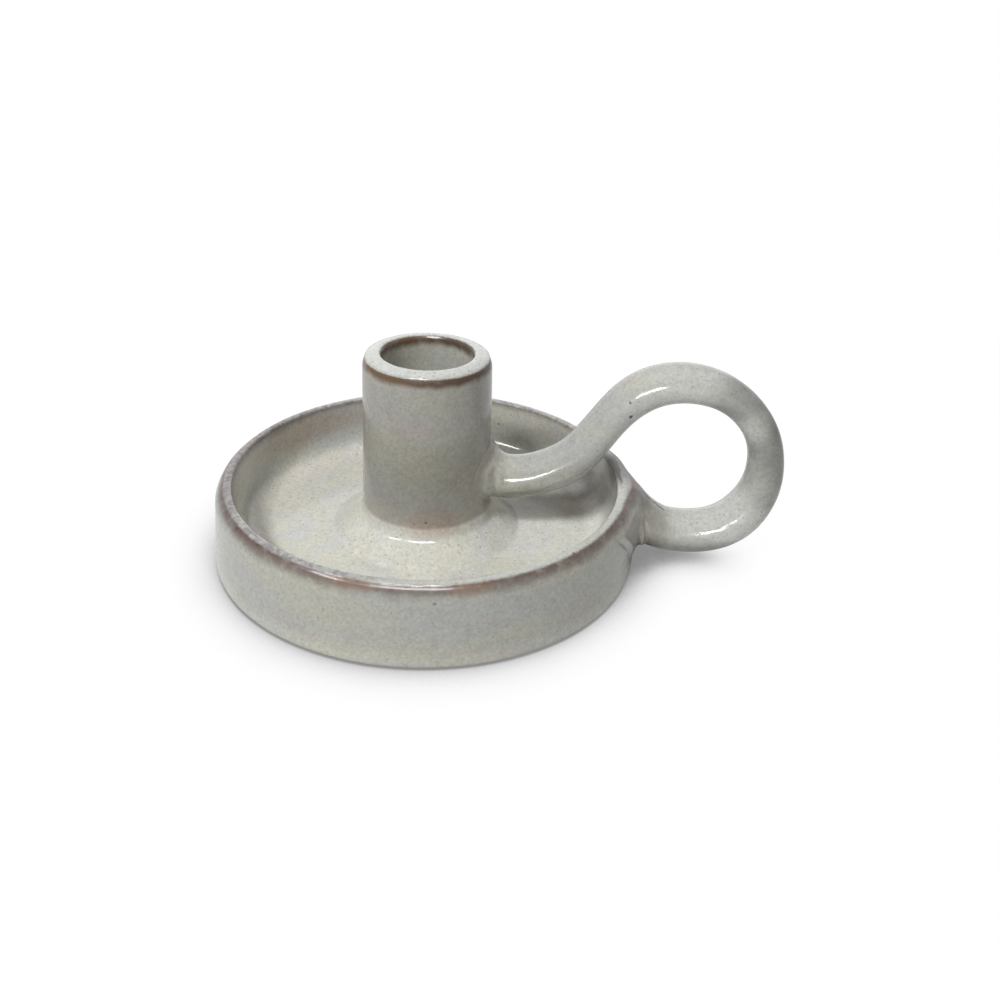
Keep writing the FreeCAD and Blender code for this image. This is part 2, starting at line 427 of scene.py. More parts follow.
def melted(first: np.ndarray, second: np.ndarray, reach: np.ndarray) -> np.ndarray:
    """Joins the distances from two shapes as a finger smooths clay, within a reach of the corner."""
    share = np.clip(reach - np.abs(first - second), 0.0, None) / reach
    return np.minimum(first, second) - share**2 * reach * 0.25


def soft_step(value: np.ndarray, start: float, end: float) -> np.ndarray:
    """Grows softly from 0 to 1 as value goes from start to end."""
    t = np.clip((value - start) / (end - start), 0.0, 1.0)
    return t * t * (3 - 2 * t)


def nearest(values: np.ndarray, goal: float) -> int:
    """Number of the value that lies nearest a goal."""
    return int(np.argmin(np.abs(values - goal)))


def run_distance(places: np.ndarray, line: np.ndarray) -> tuple[np.ndarray, np.ndarray, np.ndarray]:
    """Measures places against a line of straight runs.

    Args:
        places: Points, one row each.
        line: The line's points, one row each, with as many coordinates.

    Returns:
        The distances, the share along the nearest run, and the number of that run.
    """
    start, step = line[:-1], np.diff(line, axis=0)
    gap = places[:, None, :] - start[None]
    share = np.clip((gap * step[None]).sum(-1) / (step**2).sum(-1)[None], 0.0, 1.0)
    squares = ((gap - share[..., None] * step[None]) ** 2).sum(-1)
    which = squares.argmin(1)
    rows = np.arange(len(places))
    return np.sqrt(squares[rows, which]), share[rows, which], which


def settled(
    places: np.ndarray, shape: Measure, level: np.ndarray | float = 0.0, rounds: int = 6
) -> np.ndarray:
    """Moves places on to a shape's surface.

    Args:
        places: Points, one row each.
        shape: Gives the distance of points from the shape.
        level: Distance from the surface at which they come to rest.
        rounds: How often they are moved.

    Returns:
        The moved points.
    """
    moved = places.copy()
    step, longest, flattest = 0.02, 1.5, 0.3
    for _ in range(rounds):
        away = shape(moved) - level
        slope = np.stack([shape(moved + step * axis) - shape(moved - step * axis) for axis in np.eye(3)], -1)
        slope /= 2 * step
        steepness = np.maximum((slope**2).sum(-1), flattest)
        moved -= (np.clip(away, -longest, longest) / steepness)[:, None] * slope
    return moved


# Meshes and recipes.


def set_down(
    name: str,
    places: np.ndarray,
    edges: Sequence[tuple[int, int]] = (),
    faces: Sequence[Sequence[int]] = (),
) -> Piece:
    """Makes an object that stands at the origin.

    Args:
        name: Name of the object.
        places: Points in millimetres, one row each.
        edges: Pairs of points that are joined.
        faces: Corner numbers of each face.

    Returns:
        The object.
    """
    mesh = bpy.data.meshes.new(name)
    mesh.from_pydata((places * MM).tolist(), edges, faces)
    mesh.update()
    piece = bpy.data.objects.new(name, mesh)
    bpy.context.scene.collection.objects.link(piece)
    return piece


def turn_outwards(piece: Piece) -> Piece:
    """Turns a closed piece's faces over if they point inwards, and shades it smooth.

    Args:
        piece: The piece.

    Returns:
        The same piece.
    """
    mesh = piece.data
    mesh.calc_loop_triangles()
    places = np.zeros(len(mesh.vertices) * 3)
    mesh.vertices.foreach_get("co", places)
    corners = np.zeros(len(mesh.loop_triangles) * 3, np.int32)
    mesh.loop_triangles.foreach_get("vertices", corners)
    a, b, c = places.reshape(-1, 3)[corners.reshape(-1, 3)].transpose(1, 0, 2)
    if (a * np.cross(b, c)).sum() < 0:
        mesh.flip_normals()
    mesh.polygons.foreach_set("use_smooth", np.ones(len(mesh.polygons), bool))
    mesh.update()
    return piece


def ring_faces(rows: int, around: int) -> list[tuple[int, int, int, int]]:
    """Faces of a shell of closed rings whose last ring joins its first.

    Args:
        rows: Number of rings.
        around: Points in each ring.

    Returns:
        The corner numbers of the faces.
    """
    faces = []
    for row in range(rows):
        below, above = row * around, ((row + 1) % rows) * around
        for i in range(around):
            j = (i + 1) % around
            faces.append((below + i, below + j, above + j, above + i))
    return faces


class Recipe:
    """A geometry tree with named inputs, built once and put on the pieces that it makes.

    Whatever shape it starts with, it ends with the unevenness of hands, wheel and glaze. That depends on the
    place alone, so that pieces which meet go up and down together.
    """

    shared_inputs: Mapping[str, str] = {
        "Unevenness": "NodeSocketFloat",
        "Wheel Rings": "NodeSocketFloat",
        "Seed": "NodeSocketFloat",
        "Glaze": "NodeSocketMaterial",
    }
    broad_share: float = 1.6
    close_share: float = 0.6
    ring_turns: float = 2.3
    ring_drift: float = 5.0
    lip_sink: float = 0.05
    skin: float = 0.015

    def __init__(self, name: str, **inputs: str) -> None:
        """Starts the tree.

        Args:
            name: Name of the tree.
            **inputs: Socket type of each input that only this recipe has.
        """
        self.tree = bpy.data.node_groups.new(name, "GeometryNodeTree")
        self.bench = Bench(self.tree)
        kinds = {"Geometry": "NodeSocketGeometry", **inputs, **self.shared_inputs}
        for label, kind in kinds.items():
            self.tree.interface.new_socket(label, in_out="INPUT", socket_type=kind)
        self.tree.interface.new_socket("Geometry", in_out="OUTPUT", socket_type="NodeSocketGeometry")
        self.source = self.bench.node("NodeGroupInput")

    def given(self, label: str) -> Wire:
        """The wire of a named input."""
        return self.source.output(label)

    def step(self, kind: str, **sockets: Any) -> Wire:
        """Adds one node of geometry, with underlines for the spaces in its sockets' names."""
        named = {label.replace("_", " "): value for label, value in sockets.items()}
        return self.bench.node(kind, None, named)

    def _worked(self, shape: Wire) -> Wire:
        """Adds the unevenness to a shape.

        Args:
            shape: The geometry.

        Returns:
            The uneven geometry.
        """
        bench = self.bench
        place = bench.vector("SCALE", bench.node("GeometryNodeInputPosition"), 1.0 / MM)
        glaze = GlazeMap(bench, place)
        seed = self.given("Seed")
        broad = bench.cloud(place, 0.05, 1.0, seed) - 0.5
        close = bench.cloud(place, 0.22, 1.0, seed + 7.0) - 0.5
        rings = (glaze.height * self.ring_turns + broad * self.ring_drift).sine() * self.given("Wheel Rings")
        lift = (broad * self.broad_share + close * self.close_share) * self.given("Unevenness")
        lift = lift + rings * (RINGED_WALL.share(glaze) + RINGED_SOCKET.share(glaze))
        for band in EDGE_BANDS:
            lift = lift - glaze.thin(band, 0.5) * band.depth
            if band.bead:
                lift = lift + glaze.swell(band) * band.bead
        sunk = glaze.height.eased(52.0, 54.4) * self.lip_sink
        lift = lift * glaze.height.eased(0.1, 1.5) - sunk - self.skin
        offset = bench.vector("SCALE", bench.node("GeometryNodeInputNormal"), lift * MM)
        return self.step("GeometryNodeSetPosition", Geometry=shape, Offset=offset)

    def end_with(self, shape: Wire) -> Recipe:
        """Ends the tree: the worked surface, smooth shading, one real mesh, and the glaze on it.

        Args:
            shape: The geometry that the steps before have made.

        Returns:
            The recipe.
        """
        smooth = self.step("GeometryNodeSetShadeSmooth", Geometry=self._worked(shape))
        real = self.step("GeometryNodeRealizeInstances", Geometry=smooth)
        dressed = self.step("GeometryNodeSetMaterial", Geometry=real, Material=self.given("Glaze"))
        self.step("NodeGroupOutput", Geometry=dressed)
        return self

    def apply(self, piece: Piece, values: Mapping[str, Any]) -> None:
        """Runs the tree on a piece and keeps the mesh that it makes.

        Args:
            piece: Object that the tree starts from.
            values: Value of each named input.
        """
        modifier = piece.modifiers.new(self.tree.name, "NODES")
        modifier.node_group = self.tree
        for item in self.tree.interface.items_tree:
            if item.item_type == "SOCKET" and item.in_out == "INPUT" and item.name in values:
                modifier[item.identifier] = values[item.name]
        bpy.context.view_layer.update()
        graph = bpy.context.evaluated_depsgraph_get()
        mesh = bpy.data.meshes.new_from_object(piece.evaluated_get(graph), depsgraph=graph)
        mesh.name = piece.name
        piece.modifiers.clear()
        piece.data = mesh
        turn_outwards(piece)


def wheel_recipe() -> Recipe:
    """Builds the tree that turns an outline about the candle's axis.

    Returns:
        The recipe. It starts from a mesh of loose points, radius along X and height along Z.
    """
    recipe = Recipe("Turned on the wheel", Segments="NodeSocketInt")
    bench = recipe.bench
    outline = recipe.given("Geometry")
    sockets = {"Geometry": outline}
    count = bench.node("GeometryNodeAttributeDomainSize", {"component": "MESH"}, sockets, "Point Count")
    columns = recipe.given("Segments") + 1.0
    grid = recipe.step("GeometryNodeMeshGrid", Size_X=1.0, Size_Y=1.0, Vertices_X=columns, Vertices_Y=count)
    position = bench.node("GeometryNodeInputPosition")
    across = bench.split(position)
    row = (across.output("Y") + 0.5) * (count - 1.0)
    whole = bench.node("FunctionNodeFloatToInt", {"rounding_mode": "ROUND"}, {0: row})
    spot = bench.node(
        "GeometryNodeSampleIndex",
        {"data_type": "FLOAT_VECTOR", "domain": "POINT"},
        {"Geometry": outline, "Value": position, "Index": whole},
    )
    reach = bench.split(spot)
    angle = (across + 0.5) * TURN
    x, y = reach * angle.cosine(), reach * angle.sine()
    turned = bench.node("ShaderNodeCombineXYZ", None, {"X": x, "Y": y, "Z": reach.output("Z")})
    shell = recipe.step("GeometryNodeSetPosition", Geometry=grid, Position=turned)
    return recipe.end_with(recipe.step("GeometryNodeMergeByDistance", Geometry=shell, Distance=1e-6))


def rod_recipe() -> Recipe:
    """Builds the tree that rolls a rod along a line.

    Returns:
        The recipe. It starts from a line of points with a "thickness" attribute.
    """
    recipe = Recipe("Rolled rod", Sides="NodeSocketInt")
    bench = recipe.bench
    line = recipe.step("GeometryNodeMeshToCurve", Mesh=recipe.given("Geometry"))
    sockets = {"Resolution": recipe.given("Sides"), "Radius": 1.0}
    section = bench.node("GeometryNodeCurvePrimitiveCircle", {"mode": "RADIUS"}, sockets)
    named = {"Name": "thickness"}
    thickness = bench.node("GeometryNodeInputNamedAttribute", {"data_type": "FLOAT"}, named)
    rod = recipe.step(
        "GeometryNodeCurveToMesh", Curve=line, Profile_Curve=section, Scale=thickness, Fill_Caps=True
    )
    return recipe.end_with(recipe.step("GeometryNodeMergeByDistance", Geometry=rod, Distance=1e-6))


def hand_recipe() -> Recipe:
    """Builds the tree that only works over the surface of a finished shape."""
    recipe = Recipe("Worked by hand")
    return recipe.end_with(recipe.given("Geometry"))


class Method(Enum):
    """How a piece of clay is shaped."""

    THROWN = "thrown"
    ROLLED = "rolled"
    MODELLED = "modelled"


@dataclass
class Workshop:
    """The recipes, and the hand that every piece shares."""

    glaze: bpy.types.Material
    unevenness: float = 0.09
    wheel_rings: float = 0.014
    seed: float = 3.0
    recipes: dict[Method, Recipe] = field(default_factory=dict)

    def __post_init__(self) -> None:
        """Builds the recipes."""
        makers = {Method.THROWN: wheel_recipe, Method.ROLLED: rod_recipe, Method.MODELLED: hand_recipe}
        self.recipes = {method: make() for method, make in makers.items()}

    def finish(self, piece: Piece, method: Method, nodes: Sequence[str], **values: Any) -> Piece:
        """Shapes a piece, dresses it and puts it on the body.

        Args:
            piece: Object to start from.
            method: How it is shaped.
            nodes: Solids that it stands for.
            **values: More inputs of the recipe, with underlines for the spaces in their names.

        Returns:
            The finished piece.
        """
        given = {"Unevenness": self.unevenness, "Wheel Rings": self.wheel_rings, "Seed": self.seed}
        given["Glaze"] = self.glaze
        given.update({name.replace("_", " "): value for name, value in values.items()})
        self.recipes[method].apply(piece, given)
        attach(piece, BODY)
        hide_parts(*nodes)
        LOG.info("%s: %s, %d faces", piece.name, method.value, len(piece.data.polygons))
        return piece


# Pieces.


@dataclass
class Dish:
    """The thrown dish: flat base, leaning wall, soft rim, coved inside corner."""

    base_radius: float = 55.4
    shoulder_radius: float = 54.0
    height: float = 20.8
    shoulder_height: float = 16.8
    base_round: float = 1.4
    wall: float = 4.5
    floor: float = 5.6
    cove: float = 7.5
    inner_round: float = 0.9
    recess: float = 0.4
    recess_radii: Point = (44.0, 46.2, 48.0)
    under_socket: float = 14.0
    shoulder: tuple[Pair, ...] = (
        (54.0, 16.8), (53.7, 18.0), (53.15, 19.2), (52.45, 20.05),
        (51.9, 20.45), (51.1, 20.72), (50.4, 20.8),
    )
    segments: int = 400

    def outside(self) -> np.ndarray:
        """Outline from the edge of the base up the wall to the crest of the rim."""
        return joined(
            arc((self.base_radius - self.base_round, self.base_round), self.base_round, -90, 5, 10),
            straight((self.base_radius, self.base_round + 0.3), self.shoulder[0], 36),
            run_through(self.shoulder, 56, (0, 1), (-1, 0)),
        )

    def outline(self) -> np.ndarray:
        """The whole outline.

        Returns:
            Points from the middle of the base round to the middle of the floor.
        """
        inner = self.shoulder_radius - self.wall
        crest = self.height - self.inner_round
        flat, bend, edge = self.recess_radii
        low = self.floor + self.cove
        return joined(
            straight((0, self.recess), (flat, self.recess), 12),
            run_through([(flat, self.recess), (bend, self.recess * 0.7), (edge, 0.02)], 8, (1, 0), (1, 0)),
            straight((edge, 0.02), (self.base_radius - self.base_round, 0), 5),
            self.outside(),
            straight(self.shoulder[-1], (inner + self.inner_round, self.height), 3),
            arc((inner + self.inner_round, crest), self.inner_round, 90, 180, 12),
            straight((inner, crest), (inner, low), 16),
            arc((inner - self.cove, low), self.cove, 0, -90, 22),
            straight((inner - self.cove, self.floor), (self.under_socket, self.floor), 34),
            straight((self.under_socket, self.floor), (0, self.floor), 5),
        )

    def distance(self, places: np.ndarray) -> np.ndarray:
        """Distance of places from the outside of the dish, below zero in it.

        Args:
            places: Points in millimetres.

        Returns:
            The distances.
        """
        flat = np.stack([np.hypot(places[:, 0], places[:, 1]), places[:, 2]], -1)
        full = self.outside()
        rim = full[:, 1] > self.shoulder_height
        wall = (full[:, 1] > self.base_round * 1.5) & ~rim
        inward = np.array([[30.0, self.height]])
        line = joined(full[~wall & ~rim], full[wall][[0, -1]], full[rim][::2], inward)
        away, _, which = run_distance(flat, line)
        step = np.diff(line, axis=0)[which]
        gap = flat - line[:-1][which]
        return np.where(gap[:, 0] * step[:, 1] - gap[:, 1] * step[:, 0] > 0, away, -away)

    def build(self, shop: Workshop) -> Piece:
        """Throws and dresses the dish."""
        piece = set_down("dish_glazed", stood_up(self.outline()))
        return shop.finish(piece, Method.THROWN, ["dish"], Segments=self.segments)


@dataclass
class CandleSocket:
    """The thrown cup that takes the candle."""

    height: float = 54.0
    floor: float = 5.6
    bedding: float = 0.3
    lip_radius: float = 16.0
    foot_radius: float = 17.0
    bore_radius: float = 11.1
    bore_depth: float = 42.0
    inner_round: float = 1.2
    bottom_round: float = 2.0
    shoulder: tuple[Pair, ...] = (
        (16.0, 50.6), (15.89, 51.69), (15.52, 52.67), (14.89, 53.35),
        (14.15, 53.69), (13.19, 53.93), (12.3, 54.0),
    )
    segments: int = 288

    def wall_radius(self, height: np.ndarray | float) -> np.ndarray | float:
        """Outside radius of the tapered wall at a height."""
        share = (height - self.floor) / (self.shoulder[0][1] - self.floor)
        return self.foot_radius + (self.lip_radius - self.foot_radius) * share

    def outline(self) -> np.ndarray:
        """The whole outline.

        Returns:
            Points from the middle of the foot round to the middle of the bore's bottom.
        """
        foot = (self.wall_radius(self.floor - self.bedding), self.floor - self.bedding)
        bottom = self.height - self.bore_depth
        crest = self.height - self.inner_round
        low = self.bore_radius - self.bottom_round
        return joined(
            straight((0, foot[1]), foot, 6),
            straight(foot, self.shoulder[0], 66),
            run_through(self.shoulder, 52, (0, 1), (-1, 0)),
            arc((self.bore_radius + self.inner_round, crest), self.inner_round, 90, 180, 16),
            straight((self.bore_radius, crest), (self.bore_radius, bottom + self.bottom_round), 44),
            arc((low, bottom + self.bottom_round), self.bottom_round, 0, -90, 8),
            straight((low, bottom), (0, bottom), 7),
        )

    def distance(self, places: np.ndarray) -> np.ndarray:
        """Distance of places from the outside of the wall, below zero in it."""
        return np.hypot(places[:, 0], places[:, 1]) - self.wall_radius(places[:, 2])

    def build(self, shop: Workshop) -> Piece:
        """Throws and dresses the socket."""
        piece = set_down("socket_glazed", stood_up(self.outline()))
        return shop.finish(piece, Method.THROWN, ["candle_socket"], Segments=self.segments)


@dataclass
class FootSlip:
    """The ring of slip smoothed into the corner between socket and floor."""

    floor: float = 5.6
    rise: float = 8.5
    bedding: float = 0.3
    skin: float = 0.03
    tuck: float = 0.5
    edge: float = 0.6
    slope: tuple[Pair, ...] = (
        (25.2, 5.57), (23.8, 6.05), (22.0, 7.2), (20.3, 8.4), (18.9, 9.45),
        (17.95, 10.2), (17.4, 11.0), (17.12, 12.0), (16.95, 13.0),
    )
    segments: int = 320

    def build(self, shop: Workshop, socket: CandleSocket) -> Piece:
        """Smooths and dresses the ring.

        Args:
            shop: The recipes and the glaze.
            socket: The cup that it lies round.

        Returns:
            The finished piece.
        """
        top, low = self.floor + self.rise, self.floor - self.bedding
        wall = float(socket.wall_radius(top))
        rows = [*self.slope, (wall - self.skin, top)]
        tucked = (wall - self.tuck, top - self.edge)
        heel = (socket.foot_radius - self.tuck, low)
        toe = (rows[0][0] - self.edge, low)
        outline = joined(
            run_through(rows, 60, (-1, 0.02), (-0.02, 1)),
            straight(rows[-1], tucked, 3),
            straight(tucked, heel, 8),
            straight(heel, toe, 8),
            straight(toe, rows[0], 3),
        )
        piece = set_down("foot_slip_glazed", stood_up(outline))
        return shop.finish(
            piece, Method.THROWN, ["socket_foot_slip"], Segments=self.segments, Wheel_Rings=0.0
        )


@dataclass
class HandleLoop:
    """The rolled rod: out from the socket, up over the rim and round the finger loop to the wall.

    Each station of its middle line is a place along, a height and a radius.
    """

    stations: tuple[Point, ...] = (
        (13.4, 22.8, 6.1), (19.8, 21.0, 5.9), (26.1, 21.5, 5.7), (32.2, 23.8, 5.6), (37.8, 27.5, 5.5),
        (42.1, 33.0, 5.15), (46.1, 39.1, 5.0), (50.6, 44.5, 5.2), (56.1, 48.2, 5.25), (62.5, 49.7, 5.1),
        (69.2, 49.1, 4.8), (75.5, 46.5, 4.4), (80.8, 42.1, 4.2), (84.5, 36.6, 4.25), (86.35, 30.1, 4.6),
        (86.4, 23.5, 5.1), (84.6, 17.5, 5.6), (81.0, 12.4, 5.9), (75.8, 9.1, 5.9), (69.4, 7.9, 5.8),
        (62.0, 8.5, 5.7), (57.0, 10.2, 5.7), (52.0, 11.8, 5.7),
    )
    steps: int = 460
    sides: int = 96
    coarse: int = 2
    trimmed: tuple[int, int] = (4, 6)

    def line(self) -> np.ndarray:
        """The rod's middle line and radius: along, height, radius."""
        return run_through(self.stations, self.steps)

    def distance(self, places: np.ndarray, part: slice) -> np.ndarray:
        """Distance of places from a part of the rod, below zero in it.

        Args:
            places: Points in millimetres.
            part: Which of the line's points to use.

        Returns:
            The distances.
        """
        line = self.line()[part][:: self.coarse]
        away, share, which = run_distance(places, stood_up(line))
        return away - (line[which, 2] + share * (line[which + 1, 2] - line[which, 2]))

    def ring(self, place: float, growth: float, around: int) -> np.ndarray:
        """A ring of points square to the rod.

        Args:
            place: Where it stands, counted in the line's points; it may lie between two.
            growth: How much wider than the rod it is.
            around: How many points it has.

        Returns:
            The points; the first lies towards +Y and the second quarter is on the rod's upper side.
        """
        line = self.line()
        numbers = np.arange(len(line))
        before, here, after = (
            np.array([np.interp(place + step, numbers, column) for column in line.T]) for step in (-1, 0, 1)
        )
        along = (after - before)[:2] / np.linalg.norm((after - before)[:2])
        up = np.array([-along[1], 0.0, along[0]])
        angles = np.linspace(0, TURN, around, endpoint=False)[:, None]
        centre = np.array([here[0], 0.0, here[1]])
        spokes = np.cos(angles) * np.array([0.0, 1.0, 0.0]) + np.sin(angles) * up
        return centre + (here[2] + growth) * spokes

    def build(self, shop: Workshop) -> Piece:
        """Rolls, bends and dresses the rod.

        Args:
            shop: The recipes and the glaze.

        Returns:
            The finished piece.
        """
        line = self.line()[self.trimmed[0] : -self.trimmed[1]]
        runs = [(i, i + 1) for i in range(len(line) - 1)]
        piece = set_down("handle_glazed", stood_up(line), runs)
        thickness = piece.data.attributes.new("thickness", "FLOAT", "POINT")
        thickness.data.foreach_set("value", (line[:, 2] * MM).astype(np.float32))
        return shop.finish(piece, Method.ROLLED, ["handle_loop"], Sides=self.sides)


@dataclass
class Crease:
    """A groove, or with a depth below zero a ridge, pressed along a line in the slip."""

    depth: float
    width: float
    path: tuple[Point, ...]
    fading: float = 0.25

    def lift(self, places: np.ndarray) -> np.ndarray:
        """What the crease adds to the distances of places from the surface.

        Args:
            places: Points in millimetres.

        Returns:
            The heights to add.
        """
        line = np.array(self.path)
        away, share, which = run_distance(places, line)
        along = (which + share) / (len(line) - 1)
        ends = soft_step(along, 0.0, self.fading) * soft_step(1.0 - along, 0.0, self.fading)
        return self.depth * ends * np.exp(-((away / self.width) ** 2))


@dataclass
class SlipJoint:
    """Slip smoothed over the place where the rod meets a wall, less under the rod than over it."""

    around: int
    rod_rows: int
    wall_rows: int
    rod_reach: float
    low_reach: float
    top_reach: float
    reach_heights: Pair
    sunk: float
    creases: tuple[Crease, ...]
    deepest: float = 0.8
    relaxed: int = 8
    skin: float = 0.06
    turned_in: float = 0.3
    end_rows: float = 3.0
    thinnest: float = 0.14

    def surface(
        self, places: np.ndarray, smeared: np.ndarray, wall: np.ndarray, rod: np.ndarray
    ) -> np.ndarray:
        """Distance of places from the slip that shows, with creases no deeper than what it lies on.

        Args:
            places: Points in millimetres.
            smeared: Their distances from the wall with the clay that is smeared on it.
            wall: Their distances from the bare wall.
            rod: Their distances from the rod.

        Returns:
            The distances.
        """
        share = soft_step(places[:, 2], *self.reach_heights)
        away = melted(smeared, rod, self.low_reach + (self.top_reach - self.low_reach) * share)
        lift = sum(crease.lift(places) for crease in self.creases)
        return away + np.minimum(lift, np.clip(np.minimum(wall, rod) - away, 0.0, None) * self.deepest)

    def smear(self, places: np.ndarray) -> np.ndarray:
        """Thickness of the clay smeared on the wall at some places: none, unless a joint says otherwise."""
        return np.zeros(len(places))

    def shell(self, name: str, rings: Sequence[np.ndarray], wall: Measure, rod: Measure) -> Piece:
        """Makes a closed piece between the surface that shows and what it lies on.

        Args:
            name: Name of the piece.
            rings: Rings of points near the surface, from one edge to the other.
            wall: Distance from the wall.
            rod: Distance from the rod.

        Returns:
            The object.
        """

        def outer(places: np.ndarray) -> np.ndarray:
            """Distance from the surface that shows."""
            bare = wall(places)
            return self.surface(places, bare - self.smear(places), bare, rod(places))

        def inner(places: np.ndarray) -> np.ndarray:
            """Distance from the wall and the rod."""
            return np.minimum(wall(places), rod(places))

        rows, around = len(rings), len(rings[0])
        edge = np.minimum(np.arange(rows), np.arange(rows)[::-1]).astype(float)
        ends = np.repeat(soft_step(edge, 0.0, self.end_rows), around)
        shown = settled(np.concatenate(rings), outer)
        for _ in range(self.relaxed):
            grid = shown.reshape(rows, around, 3)
            grid[1:-1] = 0.5 * grid[1:-1] + 0.25 * (grid[:-2] + grid[2:])
            shown = settled(grid.reshape(-1, 3), outer, rounds=1)
        added = soft_step(inner(shown), 0.0, self.thinnest)
        shown = settled(shown, outer, -self.skin * (1.0 - added) - self.turned_in * (1.0 - ends), 3)
        hidden = settled(shown, inner, -self.sunk).reshape(rows, around, 3)
        hidden[0], hidden[-1] = hidden[0] * 0.5 + hidden[1] * 0.5, hidden[-1] * 0.5 + hidden[-2] * 0.5
        places = np.concatenate([shown, hidden[::-1].reshape(-1, 3)])
        return turn_outwards(set_down(name, places, faces=ring_faces(2 * rows, around)))


@dataclass
class RootSlip(SlipJoint):
    """The collar of slip worked round the place where the rod leaves the socket."""

    around: int = 176
    rod_rows: int = 22
    wall_rows: int = 26
    rod_reach: float = 6.0
    low_reach: float = 1.6
    top_reach: float = 5.5
    reach_heights: Pair = (15.5, 21.5)
    sunk: float = 0.35
    wall_reach: float = 5.2
    centre_height: float = 21.5
    rod_part: int = 70
    searched: int = 120
    creases: tuple[Crease, ...] = (
        Crease(0.3, 0.8, (
            (17.9, -4.2, 26.6), (18.1, -6.0, 24.6), (18.3, -6.6, 21.4),
            (18.6, -5.9, 18.6), (18.9, -4.4, 16.9),
        )),
        Crease(0.7, 0.8, ((17.6, -6.2, 18.8), (18.3, -5.2, 17.3), (19.0, -3.2, 16.3), (19.2, 0.0, 15.8))),
        Crease(-0.35, 1.3, ((17.0, -5.2, 27.6), (15.9, -7.6, 24.8), (15.5, -8.2, 21.5), (15.9, -7.6, 17.8))),
    )

    def build(self, shop: Workshop, socket: CandleSocket, handle: HandleLoop) -> Piece:
        """Works and dresses the collar.

        Args:
            shop: The recipes and the glaze.
            socket: The cup that the rod leaves.
            handle: The rod.

        Returns:
            The finished piece.
        """
        along = handle.line()[: self.searched, 0]
        wall = float(socket.wall_radius(self.centre_height))
        at_wall, far = nearest(along, wall), nearest(along, wall + self.rod_reach)
        rings = [handle.ring(place, 0.0, self.around) for place in np.linspace(far, at_wall, self.rod_rows)]
        for share in np.linspace(0, 1, self.wall_rows)[1:]:
            ring = handle.ring(at_wall, self.wall_reach * share, self.around)
            ring[:, 0] = np.sqrt(socket.wall_radius(ring[:, 2]) ** 2 - ring[:, 1] ** 2)
            rings.append(ring)
        rod = partial(handle.distance, part=slice(0, self.rod_part))
        piece = self.shell("root_slip_glazed", rings, socket.distance, rod)
        return shop.finish(piece, Method.MODELLED, ["handle_root_slip"], Wheel_Rings=0.0)


